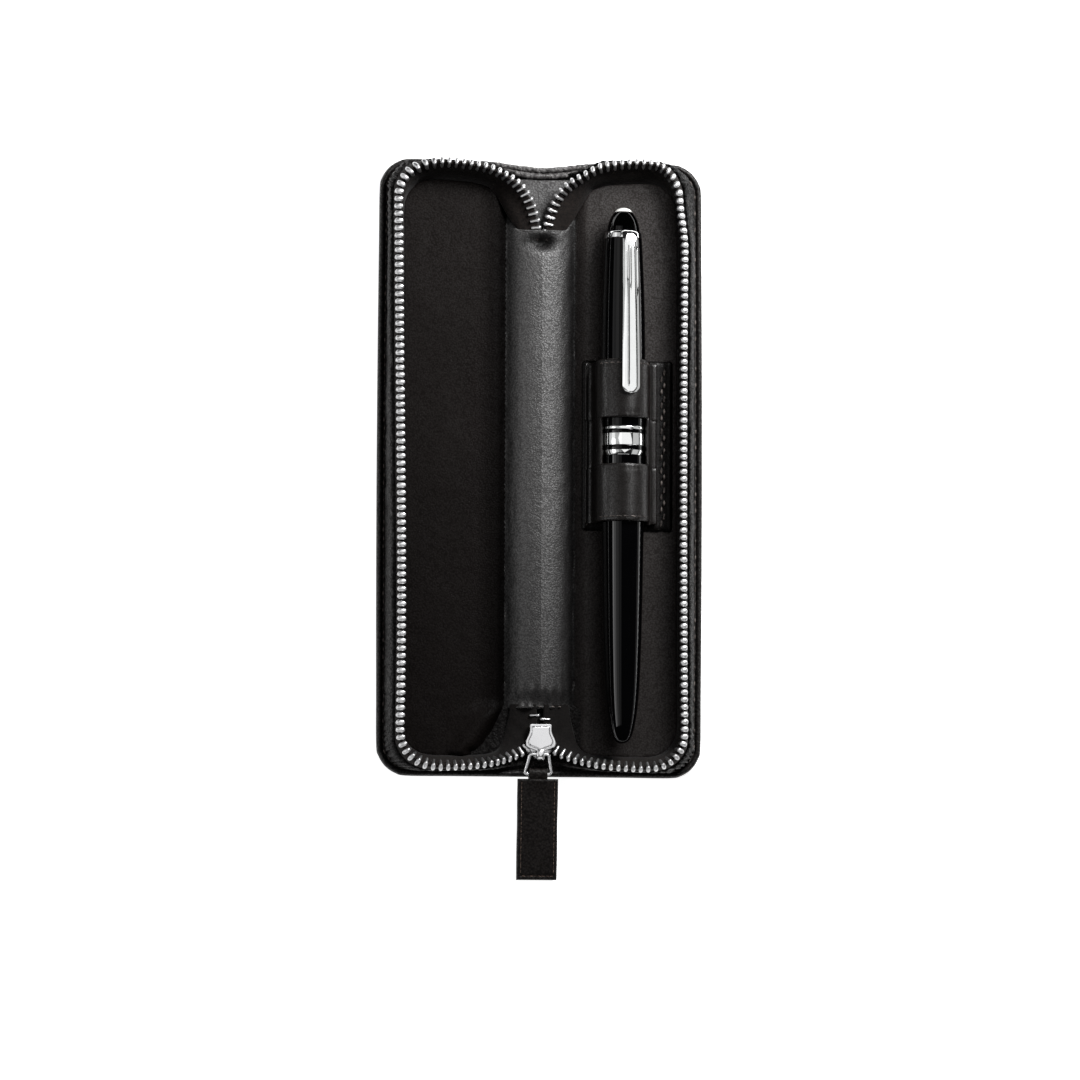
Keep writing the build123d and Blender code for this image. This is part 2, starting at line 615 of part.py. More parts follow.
TURNED_PROFILES = {
    "cap_finial": [
        (0, 66.4), (1.8, 66.4), (1.8, 66.86), (2.3, 66.86), (3.05, 65.9), (3.62, 64.6),
        (4.02, 63.2), (4.35, 61.75), (1.95, 61.75), (1.95, 58.0), (0, 58.0)],
    "finial_inlay": [
        (0, 66.45), (1.75, 66.45), (1.75, 66.9), (2.2, 66.9), (1.95, 67.32), (1.5, 67.72),
        (1.0, 67.98), (0.5, 68.13), (0, 68.18)],
    "clip_ring": [(2.05, 60.05), (4.95, 60.05), (4.85, 61.7), (2.05, 61.7)],
    "cap_ring_upper": [(5.36, 9.75), (5.98, 9.75), (5.98, 10.5), (5.36, 10.5)],
    "cap_ring_middle": [
        (5.36, 5.6), (5.99, 5.6), (6.03, 6.0), (6.03, 8.3), (5.99, 8.7), (5.36, 8.7)],
    "cap_ring_lower": [(5.16, 2.95), (5.55, 2.95), (5.98, 3.6), (5.98, 4.35), (5.16, 4.35)],
    "cap_spacers": [
        (5.16, 4.4), (5.9, 4.4), (5.9, 5.55), (5.32, 5.55), (5.32, 8.75), (5.9, 8.75),
        (5.9, 9.7), (5.32, 9.7), (5.32, 10.6), (5.16, 10.6)],
    "inner_cap": [
        (4.55, 31.0), (5.1, 31.0), (5.1, 39.5), (4.3, 48.5), (3.6, 48.5), (3.6, 47.6),
        (3.9, 39.0), (4.55, 33.0)],
    "section_ring": [(3.95, 9.45), (4.85, 9.45), (4.85, 10.7), (3.95, 10.7)],
    "grip_section": [
        (2.75, -4.0), (3.9, -4.0), (3.9, 10.75), (4.7, 10.75), (4.45, 16.0), (4.2, 22.0),
        (4.3, 26.0), (4.25, 27.5), (2.9, 27.5), (2.9, 12.0), (1.3, 12.0), (1.3, 3.0),
        (2.75, 3.0)],
    "converter_body": [
        (2.7, 2.7), (1.4, 2.7), (1.4, -1.0), (2.5, -4.2), (3.0, -5.5), (3.0, -34.0),
        (3.5, -34.0), (3.5, -5.2), (2.7, -4.2)],
    "converter_piston": [
        (0, -20.0), (2.95, -20.0), (2.95, -23.0), (1.0, -23.0), (1.0, -36.0), (0, -36.0)],
    "converter_knob": [
        (1.1, -34.1), (3.5, -34.1), (3.5, -44.0), (0, -44.0), (0, -37.0), (1.1, -37.0)],
}

# The cap's bore and mouth are straight runs; its outside is one smooth curve.
with BuildPart() as cap_body:
    with BuildSketch(pen_plane):
        with BuildLine():
            Polyline((4.93, 60.0), (2.0, 60.0), (2.0, 54.0), (4.3, 50.0), (5.15, 40.0),
                     (5.15, 10.7), (5.35, 10.7), (5.35, 10.55), (5.93, 10.55))
            Spline((5.93, 10.55), (5.95, 29.5), (5.70, 44.0), (5.28, 53.0), (4.93, 60.0))
        make_face()
    revolve(axis=pen_axis)

with BuildPart() as barrel:
    with BuildSketch(pen_plane):
        with BuildLine():
            Polyline((4.0, 9.4), (4.95, 9.4), (4.95, 2.85), (5.72, 2.85))
            Spline((5.72, 2.85), (5.62, -16.5), (5.2, -40.1), (4.63, -55.9), (3.56, -66.4),
                   (2.1, -70.5), (0, -71.74), tangents=((0, -1), (-1, 0)))
            Polyline((0, -71.74), (0, -62.0), (3.2, -58.0), (4.0, -50.0), (4.0, 9.4))
        make_face()
    revolve(axis=pen_axis)

# Pocket clip: a side profile of (y, distance from the pen's axis), trimmed to its plan.
CLIP_ANGLE = 2.0       # degrees it sits round the cap from the top, towards +X
CLIP_HALF_W = 2.3      # of the blank, before trimming
clip_cos, clip_sin = math.cos(math.radians(CLIP_ANGLE)), math.sin(math.radians(CLIP_ANGLE))
clip_side = Plane(origin=(PEN_X, PEN_Y, PEN_Z), x_dir=(0, 1, 0), z_dir=(clip_cos, 0, -clip_sin))
clip_top = Plane(origin=(PEN_X, PEN_Y, PEN_Z), x_dir=(clip_cos, 0, -clip_sin),
                 z_dir=(clip_sin, 0, clip_cos))
with BuildPart() as pocket_clip:
    with BuildSketch(clip_side):
        with BuildLine():
            Spline((61.6, 5.05), (61.2, 6.9), (58.0, 8.0), (50.0, 8.35), (36.0, 8.3),
                   (22.0, 8.15), (19.6, 8.0))
            Polyline((19.6, 8.0), (19.1, 7.6), (19.6, 7.28), (23.0, 7.45), (36.0, 7.6),
                     (50.0, 7.65), (57.4, 7.3), (60.0, 6.3), (60.15, 5.05), (61.6, 5.05))
        make_face()
    extrude(amount=CLIP_HALF_W, both=True)
    with BuildSketch(clip_top):
        with BuildLine():
            Polyline((-2.0, 62), (2.0, 62), (2.2, 21.3))
            ThreePointArc((2.2, 21.3), (0, 19.1), (-2.2, 21.3))
            Line((-2.2, 21.3), (-2.0, 62))
        make_face()
    extrude(amount=12, mode=Mode.INTERSECT)

# Feed: a turned body with a flat cut along the top of its outer end.
FEED_FLAT_Z, FEED_FLAT_Y, FEED_FLAT_L = 0.9, 38.0, 21
with BuildPart() as feed:
    with BuildSketch(pen_plane):
        with BuildLine():
            Polyline((0, 12.2), (2.4, 12.2), (2.45, 34.0), (1.5, 41.5), (0.6, 44.0), (0, 44.0),
                     close=True)
        make_face()
    revolve(axis=pen_axis)
    with BuildSketch(Plane.XY.offset(PEN_Z + FEED_FLAT_Z)):
        with Locations((PEN_X, PEN_Y + FEED_FLAT_Y)):
            Rectangle(8, FEED_FLAT_L)
    extrude(amount=4, mode=Mode.SUBTRACT)

# Nib: an arched shell trimmed to a pointed plan with a round hole in it.
NIB_IN_R, NIB_OUT_R = 2.55, 2.8
NIB_EDGE_ANGLE = math.radians(12)          # the shell's edges, above horizontal
NIB_Y0, NIB_BLANK_L = 20.0, 28.0
NIB_SHOULDER_Y, NIB_TIP_Y, NIB_TIP_X = 32, 47.4, 0.35
NIB_HOLE_Y, NIB_HOLE_R = 34.0, 0.5


def nib_edge(side, radius):
    return (PEN_X + side * radius * math.cos(NIB_EDGE_ANGLE),
            PEN_Z + radius * math.sin(NIB_EDGE_ANGLE))


with BuildPart() as nib:
    with BuildSketch(Plane.XZ.offset(-NIB_Y0 - PEN_Y)):
        with BuildLine():
            for radius in (NIB_IN_R, NIB_OUT_R):
                ThreePointArc(nib_edge(1, radius), (PEN_X, PEN_Z + radius), nib_edge(-1, radius))
            for side in (1, -1):
                Line(nib_edge(side, NIB_IN_R), nib_edge(side, NIB_OUT_R))
        make_face()
    extrude(amount=-NIB_BLANK_L)
    with BuildSketch(Plane.XY.offset(PEN_Z - 1)):
        with BuildLine():
            Polyline(
                (PEN_X - 3, PEN_Y + NIB_Y0),
                (PEN_X - 3, PEN_Y + NIB_SHOULDER_Y),
                (PEN_X - NIB_TIP_X, PEN_Y + NIB_TIP_Y),
                (PEN_X + NIB_TIP_X, PEN_Y + NIB_TIP_Y),
                (PEN_X + 3, PEN_Y + NIB_SHOULDER_Y),
                (PEN_X + 3, PEN_Y + NIB_Y0),
                close=True,
            )
        make_face()
        with Locations((PEN_X, PEN_Y + NIB_HOLE_Y)):
            Circle(NIB_HOLE_R, mode=Mode.SUBTRACT)
    extrude(amount=6, mode=Mode.INTERSECT)

# ---------------------------------------------------------------- write every piece
pieces = {
    "spine_cover": spine_cover, "spine_board": spine_board, "spine_lining": spine_lining,
    "upper_zip_tape": upper_zip_tape, "upper_zip_teeth": upper_zip_teeth, "top_stop": top_stop,
    "lower_zip_tape": lower_zip_tape, "lower_zip_teeth": lower_zip_teeth,
    "bottom_stop": bottom_stop, "slider_body": slider_body, "slider_shield": slider_shield,
    "pull_link": pull_link, "pull_tab": pull_tab, "tab_thread": tab_thread,
    "loop_backing": loop_backing, "pen_loop": pen_loop, "loop_thread": loop_thread,
    "cap_body": cap_body, "pocket_clip": pocket_clip, "barrel": barrel, "feed": feed, "nib": nib,
}
for kind, right_piece in {
    "cover": right_cover, "board": right_board, "lining": right_lining,
    "gusset": right_gusset, "zip_tape": right_zip_tape,
}.items():
    pieces[f"right_{kind}"] = right_piece
    pieces[f"left_{kind}"] = mirrored(right_piece)
for name, side in (("right", 1), ("left", -1)):
    pieces[f"{name}_zip_teeth"] = wall_teeth(side)
    pieces[f"{name}_gusset_thread"] = seam(side)
for label, profile in TURNED_PROFILES.items():
    pieces[label] = turned(profile)

for label, piece in pieces.items():
    piece.part.label = label
    export_step(piece.part, f"parts/{label}.step")
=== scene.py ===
"""A zip case of black leather, lying open on the floor, with a pen held in a leather loop.

Sizes are in millimetres and are scaled by MM as meshes are made. The spine runs along y at x = 0,
the halves open towards +x (right) and -x (left), and z is up from the floor. The pen lies along y
on the right half with its cap towards +y, the "cap end". The zip's slider is at -y, the "pull end".
Most forms are drawn for the right half and put on their side by to_side().
"""
import json
import math
import bmesh
import bpy
import numpy as np
from mathutils import Matrix, Quaternion, Vector
from mathutils.geometry import delaunay_2d_cdt

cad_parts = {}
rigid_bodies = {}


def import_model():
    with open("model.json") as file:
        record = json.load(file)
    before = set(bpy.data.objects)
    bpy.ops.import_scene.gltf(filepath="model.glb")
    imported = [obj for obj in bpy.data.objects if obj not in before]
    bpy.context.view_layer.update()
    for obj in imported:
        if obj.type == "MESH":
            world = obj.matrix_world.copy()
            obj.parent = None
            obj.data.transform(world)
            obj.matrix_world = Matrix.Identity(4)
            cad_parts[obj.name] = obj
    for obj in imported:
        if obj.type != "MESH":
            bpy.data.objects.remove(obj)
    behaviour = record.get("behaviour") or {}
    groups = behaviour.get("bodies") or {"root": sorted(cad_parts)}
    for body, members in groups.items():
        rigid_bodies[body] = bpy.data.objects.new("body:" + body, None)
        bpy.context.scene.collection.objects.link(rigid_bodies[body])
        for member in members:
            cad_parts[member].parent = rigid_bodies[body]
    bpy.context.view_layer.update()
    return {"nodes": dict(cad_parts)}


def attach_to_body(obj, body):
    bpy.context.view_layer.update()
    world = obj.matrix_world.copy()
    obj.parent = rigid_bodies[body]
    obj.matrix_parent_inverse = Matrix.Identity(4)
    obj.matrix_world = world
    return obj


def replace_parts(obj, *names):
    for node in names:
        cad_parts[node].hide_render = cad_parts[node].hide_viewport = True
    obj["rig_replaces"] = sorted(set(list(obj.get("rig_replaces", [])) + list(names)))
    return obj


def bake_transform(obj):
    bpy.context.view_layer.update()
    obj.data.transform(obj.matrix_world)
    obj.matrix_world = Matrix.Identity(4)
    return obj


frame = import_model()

MM = 0.001
SIDES = {1: "right", -1: "left"}

# The pen's axis, and how lengths along the pen become places along y
PEN_X, PEN_Z = 21.1, 9.25
PEN_Y, PEN_STRETCH, PEN_SHIFT = -0.5, 1.0168, 0.05


# ------------------------------------------------------------------ numbers
def ease(start, end, x):
    """A smooth step from 0 at start to 1 at end."""
    t = np.clip((np.asarray(x, float) - start) / (end - start), 0, 1)
    return t * t * (3 - 2 * t)


def bell(x, centre, width):
    return np.exp(-((x - centre) / width) ** 2)


def hash_noise(column, row, seed):
    """A repeatable random number in -1..1 for each grid point."""
    column, row = np.asarray(column).astype(np.int64), np.asarray(row).astype(np.int64)
    h = (column * 374761393 + row * 668265263 + seed * 974634777) & 0xFFFFFFFF
    h = ((h ^ (h >> 13)) * 1274126177) & 0xFFFFFFFF
    h = (h ^ (h >> 16)) & 0xFFFFFFFF
    return h / 4294967295.0 * 2 - 1


def noise(x, y, seed):
    """Smooth value noise, about -1..1, one feature per unit."""
    x, y = np.asarray(x, float), np.asarray(y, float)
    column, row = np.floor(x), np.floor(y)
    fx, fy = (f * f * f * (f * (f * 6 - 15) + 10) for f in (x - column, y - row))
    a, b = hash_noise(column, row, seed), hash_noise(column + 1, row, seed)
    c, d = hash_noise(column, row + 1, seed), hash_noise(column + 1, row + 1, seed)
    return (a * (1 - fx) + b * fx) * (1 - fy) + (c * (1 - fx) + d * fx) * fy


def fractal(x, y, seed):
    """Three octaves of noise."""
    return sum(0.5 ** (i + 1) * noise(x * 2 ** i, y * 2 ** i, seed + 17 * i) for i in range(3))


def catmull_rom(a, b, c, d, f):
    """The curve between b and c at fraction f."""
    return 0.5 * (2 * b + (c - a) * f + (2 * a - 5 * b + 4 * c - d) * f ** 2
                  + (3 * b - a - 3 * c + d) * f ** 3)


def spline(points, t):
    """Points on the curve through points, at parameters t in 0..len-1."""
    p = np.asarray(points, float)
    p = np.vstack([2 * p[0] - p[1], p, 2 * p[-1] - p[-2]])
    t = np.clip(np.asarray(t, float), 0, len(points) - 1 - 1e-9)
    i = np.floor(t).astype(int)
    return catmull_rom(p[i], p[i + 1], p[i + 2], p[i + 3], (t - i)[:, None])


def smooth_line(points, count):
    """The whole curve through points, as count points."""
    return spline(points, np.linspace(0, len(points) - 1, count))


def unit(v):
    return v / np.maximum(np.linalg.norm(v, axis=-1, keepdims=True), 1e-12)


def tangents(path):
    return unit(np.gradient(path, axis=0))


def arc_length(path):
    return np.cumsum(np.r_[0, np.linalg.norm(np.diff(path, axis=0), axis=1)])


def turn(count):
    """Angles evenly round a full turn."""
    return np.linspace(0, 2 * math.pi, count, endpoint=False)


def soft_box(half_x, half_y, power):
    """Twenty points round a rounded rectangle; a lower power gives squarer corners."""
    angle = turn(20)
    cos, sin = np.cos(angle), np.sin(angle)
    return (half_x * np.sign(cos) * np.abs(cos) ** power,
            half_y * np.sign(sin) * np.abs(sin) ** power)


# ------------------------------------------------------------------ meshes
def make(name, verts, faces, mat, smooth=True):
    """A mesh object from points in mm, with its material."""
    mesh = bpy.data.meshes.new(name)
    mesh.from_pydata([tuple(v) for v in (np.asarray(verts, float) * MM)], [],
                     [tuple(int(i) for i in f) for f in faces])
    mesh.validate()
    mesh.update()
    if smooth:
        shade_smooth(mesh)
    mesh.materials.append(mat)
    ob = bpy.data.objects.new(name, mesh)
    bpy.context.scene.collection.objects.link(ob)
    return ob


def shade_smooth(mesh):
    mesh.polygons.foreach_set("use_smooth", [True] * len(mesh.polygons))


def outward(verts, faces):
    """The faces, turned over if the closed mesh they make is inside out."""
    v = np.asarray(verts, float)
    volume = 0.0
    for f in faces:
        for i in range(1, len(f) - 1):
            volume += np.dot(v[f[0]], np.cross(v[f[i]], v[f[i + 1]]))
    return faces if volume > 0 else [tuple(reversed(f)) for f in faces]


def grid_faces(rows, cols, wrap_rows=False, wrap_cols=False):
    faces = []
    for i in range(rows if wrap_rows else rows - 1):
        for j in range(cols if wrap_cols else cols - 1):
            here, there = i * cols, ((i + 1) % rows) * cols
            k = (j + 1) % cols
            faces.append((here + j, here + k, there + k, there + j))
    return faces


def capped(rings, centres):
    """Vertices and faces of a solid through rings of points, closed to a centre at each end."""
    rings = np.asarray(rings, float)
    count, sides, _ = rings.shape
    total = count * sides
    last = total - sides
    around = [(j, (j + 1) % sides) for j in range(sides)]
    faces = grid_faces(count, sides, False, True)
    faces += [(total, b, a) for a, b in around]
    faces += [(total + 1, last + a, last + b) for a, b in around]
    verts = np.vstack([rings.reshape(-1, 3), centres])
    return verts, outward(verts, faces)


def flat_caps(ob):
    """Flat shading on the fans about the two centres, which are the last two vertices."""
    first = len(ob.data.vertices) - 2
    for face in ob.data.polygons:
        if max(face.vertices) >= first:
            face.use_smooth = False


def swept(name, sections, mat, closed=False):
    """A solid from sections (n, m, 3): a closed loop of m points at each of n places."""
    sections = np.asarray(sections, float)
    count, sides, _ = sections.shape
    if closed:
        verts = sections.reshape(-1, 3)
        faces = grid_faces(count, sides, True, True)
        return make(name, verts, outward(verts, faces), mat)
    ob = make(name, *capped(sections, [sections[0].mean(0), sections[-1].mean(0)]), mat)
    total = count * sides
    for edge in ob.data.edges:
        low, high = sorted(edge.vertices)
        if high < sides or (low >= total - sides and high < total):
            edge.use_edge_sharp = True
    flat_caps(ob)
    return ob


def shell(top, bottom):
    """Vertices and faces of a closed body between two grids (rows, cols, 3) of points."""
    rows, cols = top.shape[:2]
    count = rows * cols
    index = np.arange(count).reshape(rows, cols)
    rim = np.r_[index[0], index[1:, -1], index[-1, -2::-1], index[-2:0:-1, 0]]
    faces = grid_faces(rows, cols)
    faces += [tuple(i + count for i in reversed(f)) for f in faces]
    faces += [(b, a, a + count, b + count) for a, b in zip(rim, np.roll(rim, -1))]
    verts = np.vstack([top.reshape(-1, 3), bottom.reshape(-1, 3)])
    return verts, outward(verts, faces)


def merged(parts):
    """One mesh's vertices and faces from (verts, faces) pairs."""
    verts, faces, count = [], [], 0
    for part_verts, part_faces in parts:
        verts.append(part_verts)
        faces += [tuple(i + count for i in f) for f in part_faces]
        count += len(part_verts)
    return np.vstack(verts), faces


def inside(points, outline):
    """True where a point lies within the closed outline."""
    x, y = points[:, 0], points[:, 1]
    result = np.zeros(len(points), bool)
    j = len(outline) - 1
    for i in range(len(outline)):
        xi, yi, xj, yj = outline[i, 0], outline[i, 1], outline[j, 0], outline[j, 1]
        if yi != yj:
            result ^= ((yi > y) != (yj > y)) & (x < (xj - xi) * (y - yi) / (yj - yi) + xi)
        j = i
    return result


def near(points, outline, distance):
    """True where a point lies within distance of the closed outline."""
    hit = np.zeros(len(points), bool)
    start, along = outline[None], (np.roll(outline, -1, 0) - outline)[None]
    chunk = 4000
    for i in range(0, len(points), chunk):
        p = points[i:i + chunk, None, :]
        t = ((p - start) * along).sum(2) / np.maximum((along * along).sum(2), 1e-12)
        q = start + np.clip(t, 0, 1)[..., None] * along
        hit[i:i + chunk] = (((p - q) ** 2).sum(2)).min(1) < distance * distance
    return hit


def triangulate(outline, inner):
    """Flat points, triangles, and the given points that each flat point came from."""
    points = [Vector(p) for p in np.vstack([outline, inner])]
    flat = delaunay_2d_cdt(points, [], [list(range(len(outline)))], 1, 1e-7)
    return np.array([(p.x, p.y) for p in flat[0]]), [tuple(f) for f in flat[2]], flat[3]


def signed_area(a, b, c):
    """Twice a triangle's area, above 0 if it runs anticlockwise."""
    return (b[0] - a[0]) * (c[1] - a[1]) - (c[0] - a[0]) * (b[1] - a[1])


def sheet(name, outline, inner, margin, top, bottom, mat):
    """A closed leather sheet between the heights top(x, y) and bottom(x, y), its edge rounded.

    Of the inner points, those outside the outline or within margin of it are left out.
    """
    inner = inner[inside(inner, outline)]
    inner = inner[~near(inner, outline, margin)]
    flat, tris, sources = triangulate(outline, inner)
    size, count = len(outline), len(flat)
    rim = [None] * size
    for i, source in enumerate(sources):
        for k in source:
            if k < size:
                rim[k] = i
    if sum(signed_area(*(flat[i] for i in f)) for f in tris[:50]) < 0:
        tris = [tuple(reversed(f)) for f in tris]
    following = np.roll(flat[rim], -1, 0)
    if (flat[rim][:, 0] * following[:, 1] - following[:, 0] * flat[rim][:, 1]).sum() <= 0:
        rim.reverse()
    x, y = flat[:, 0], flat[:, 1]
    high, low = top(x, y), bottom(x, y)
    # a row of points pushed outwards at mid thickness, except on the seam at x = 0
    line = flat[rim]
    tangent = unit(np.roll(line, -1, 0) - np.roll(line, 1, 0))
    out = np.c_[tangent[:, 1], -tangent[:, 0]] * (high[rim] - low[rim])[:, None] * 0.32
    at_seam = (np.abs(line[:, 0]) < 1e-6)[:, None]
    middle = np.c_[line + np.where(at_seam, 0, out), (high[rim] + low[rim]) / 2]
    verts = np.vstack([np.c_[flat, high], np.c_[flat, low], middle])
    faces = tris + [tuple(i + count for i in reversed(f)) for f in tris]
    for i in range(size):
        j = (i + 1) % size
        a, b, mid_a, mid_b = rim[i], rim[j], 2 * count + i, 2 * count + j
        faces += [(b, a, mid_a, mid_b), (mid_b, mid_a, a + count, b + count)]
    return sharpen_seam(make(name, verts, outward(verts, faces), mat))


def mark_sharp(ob, is_sharp):
    work = bmesh.new()
    work.from_mesh(ob.data)
    for edge in work.edges:
        if is_sharp(edge):
            edge.smooth = False
    work.to_mesh(ob.data)
    work.free()
    return ob


def sharpen(ob, degrees):
    """Marks edges sharper than this angle, so that flat faces and rounds shade apart."""
    limit = math.radians(degrees)
    return mark_sharp(ob, lambda edge: len(edge.link_faces) == 2
                      and edge.calc_face_angle(0) > limit)


def sharpen_seam(ob):
    """Gives the flat cut at x = 0 its own shading, so that both sides meet without a line."""
    mesh = ob.data
    for face in mesh.polygons:
        if all(abs(mesh.vertices[i].co.x) < 1e-8 for i in face.vertices):
            face.use_smooth = False
    return mark_sharp(ob, lambda edge: all(abs(v.co.x) < 1e-8 for v in edge.verts))


def ring_sections(path, first, second, radius, sides):
    """Rings of points about a path, in the plane of two directions."""
    return np.stack([path + radius * (first * math.cos(a) + second * math.sin(a))
                     for a in turn(sides)], 1)


def tube(name, path, radius, mat, sides=12, closed=False):
    if closed:
        tangent = unit(np.roll(path, -1, 0) - np.roll(path, 1, 0))
    else:
        tangent = tangents(path)
    across = unit(np.cross(tangent, [0, 0, 1.0]))
    radius = np.broadcast_to(radius, (len(path),))[:, None]
    sections = ring_sections(path, across, unit(np.cross(across, tangent)), radius, sides)
    return swept(name, sections, mat, closed)


def stitch_row(name, path, mat, pitch, length, radius, lift=0.0, wave=0.0):
    """Separate slanted stitches along a path; wave moves them to alternate sides."""
    steps = np.array([0, 0.2, 0.5, 0.8, 1])
    rise = np.array([-0.55, 0.35, 1.0, 0.35, -0.55])
    slant = np.array([-1, -0.5, 0, 0.5, 1])[:, None]
    swell = np.array([0.55, 0.95, 1.0, 0.95, 0.55])[:, None]
    arc = arc_length(path)
    parts = []
    for k, start in enumerate(np.arange(0.3, arc[-1] - length, pitch)):
        line = np.stack([np.interp(start + length * steps, arc, path[:, j])
                         for j in range(3)], 1)
        sideways = unit(np.cross(unit(line[-1] - line[0]), [0, 0, 1.0]))
        line[:, 2] += lift + rise * radius
        line = line + sideways * (wave * (1 if k % 2 else -1)) + sideways * slant * radius * 0.5
        tangent = tangents(line)
        across = unit(np.cross(tangent, [0, 0, 1.0]))
        rings = ring_sections(line, across, np.cross(across, tangent), radius * swell, 6)
        verts = rings.reshape(-1, 3)
        faces = grid_faces(5, 6, False, True)
        faces += [tuple(range(5, -1, -1)), tuple(range(24, 30))]
        parts.append((verts, outward(verts, faces)))
    return make(name, *merged(parts), mat)


# ------------------------------------------------------------------ places in the frame
def to_side(points, side):
    """Puts a right-hand form on its side, with each wall pushed about more the higher it is."""
    moved = np.array(points, float)
    x, y = moved[..., 0].copy(), moved[..., 1].copy()
    up = ease(2.8, 8.0, moved[..., 2])
    wall = up * ease(28.0, 36.0, x)
    if side < 0:
        x = x + wall * (0.5 + 1.2 * ease(-60.0, 60.0, y))
    else:
        x = x + wall * (0.45 - 1.5 * ease(58.0, 72.0, y))
    moved[..., 0] = x * side
    reach = ease(9.0, 16.0, np.array(points, float)[..., 0])
    moved[..., 1] = y + up * ease(70.0, 79.0, y) * reach * (1.2 if side > 0 else 0.4)
    return moved


def attach(ob, node, replaced=None):
    """Fixes a piece to a frame node and names the CAD piece it stands for."""
    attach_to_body(ob, node)
    if replaced:
        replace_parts(ob, replaced)


def bend(ob):
    """Bakes a piece's place into its mesh; it is fixed to no body."""
    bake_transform(ob)


def attach_zip(ob, side, zone, part):
    if zone == "wall":
        attach(ob, f"{SIDES[side]}_half", f"{SIDES[side]}_zip_{part}")
        return
    bend(ob)
    if side == 1:
        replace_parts(ob, f"{'upper' if zone == 'cap_end' else 'lower'}_zip_{part}")


# ------------------------------------------------------------------ materials
class Shader:
    """A node material built in a few calls."""

    def __init__(self, name):
        self.material = bpy.data.materials.new(name)
        self.material.use_nodes = True
        self.tree = self.material.node_tree
        self.place = self.node("ShaderNodeTexCoord", {}, "Object")

    def feed(self, socket, value):
        if isinstance(value, bpy.types.NodeSocket):
            self.tree.links.new(value, socket)
        else:
            socket.default_value = value

    def node(self, kind, inputs, output=0, **settings):
        node = self.tree.nodes.new(kind)
        for key, value in settings.items():
            setattr(node, key, value)
        for key, value in inputs.items():
            self.feed(node.inputs[key], value)
        return node.outputs[output]

    def surface(self, inputs):
        for key, value in inputs.items():
            self.feed(self.tree.nodes["Principled BSDF"].inputs[key], value)

    def stretched(self, scale):
        return self.node("ShaderNodeMapping", {"Vector": self.place, "Scale": scale})

    def noise(self, scale, detail, roughness, vector=None, distortion=0.0, output="Fac"):
        return self.node("ShaderNodeTexNoise", {
            "Scale": scale, "Detail": detail, "Roughness": roughness,
            "Distortion": distortion, "Vector": vector or self.place}, output)

    def ramp(self, value, start, end):
        """A colour ramp between two (position, colour) stops."""
        node = self.tree.nodes.new("ShaderNodeValToRGB")
        for element, (position, colour) in zip(node.color_ramp.elements, (start, end)):
            element.position = position
            element.color = (*colour, 1)
        self.feed(node.inputs[0], value)
        return node.outputs[0]

    def span(self, value, low, high, new_low, new_high):
        """The value moved from one range to another."""
        return self.node("ShaderNodeMapRange",
                         dict(enumerate((value, low, high, new_low, new_high))))

    def math(self, operation, *values):
        return self.node("ShaderNodeMath", dict(enumerate(values)), operation=operation)

    def weigh(self, first, first_weight, second, second_weight):
        return self.math("ADD", self.math("MULTIPLY", first, first_weight),
                         self.math("MULTIPLY", second, second_weight))

    def multiply_colour(self, amount, first, second):
        return self.node("ShaderNodeMixRGB", {0: amount, 1: first, 2: second},
                         blend_type="MULTIPLY")

    def bump(self, height, distance, strength=1.0, normal=None):
        inputs = {"Height": height, "Distance": distance, "Strength": strength}
        if normal is not None:
            inputs["Normal"] = normal
        return self.node("ShaderNodeBump", inputs)


def brighter(colour, factor, lift):
    return tuple(c * factor + lift for c in colour)


def painted_shade_factor(shader, blotches, fade, patch, grades):
    """Painted shade, shadow and light falloff over the place, for leather(): a factor on colour and
    gloss.
    """
    xyz = shader.tree.nodes.new("ShaderNodeSeparateXYZ")
    shader.feed(xyz.inputs[0], shader.place)
    x, y = xyz.outputs[0], xyz.outputs[1]
    # painted shade that darkens towards the crease by |x|
    start, end, factor = fade
    depth = shader.span(shader.math("ABSOLUTE", x), start * MM, end * MM, 1.0, factor)
    # a painted shadow patch with a ragged edge
    if patch:
        centre_x, centre_y, radius_x, radius_y, factor = patch
        squares = []
        for place, centre, radius in ((x, centre_x, radius_x), (y, centre_y, radius_y)):
            offset = shader.math("DIVIDE", shader.math("SUBTRACT", place, centre * MM),
                                 radius * MM)
            squares.append(shader.math("MULTIPLY", offset, offset))
        ragged = shader.math("MULTIPLY", shader.math("SUBTRACT", blotches, 0.5), 0.9)
        distance = shader.math("ADD", shader.math("ADD", *squares), ragged)
        depth = shader.math("MULTIPLY", depth, shader.span(distance, 0.15, 1.6, factor, 1.0))
    # painted light and shade falling off along an axis
    for axis, low, high, low_factor, high_factor in grades:
        grade = shader.span(xyz.outputs[axis], low * MM, high * MM, low_factor, high_factor)
        depth = shader.math("MULTIPLY", depth, grade)
    return depth


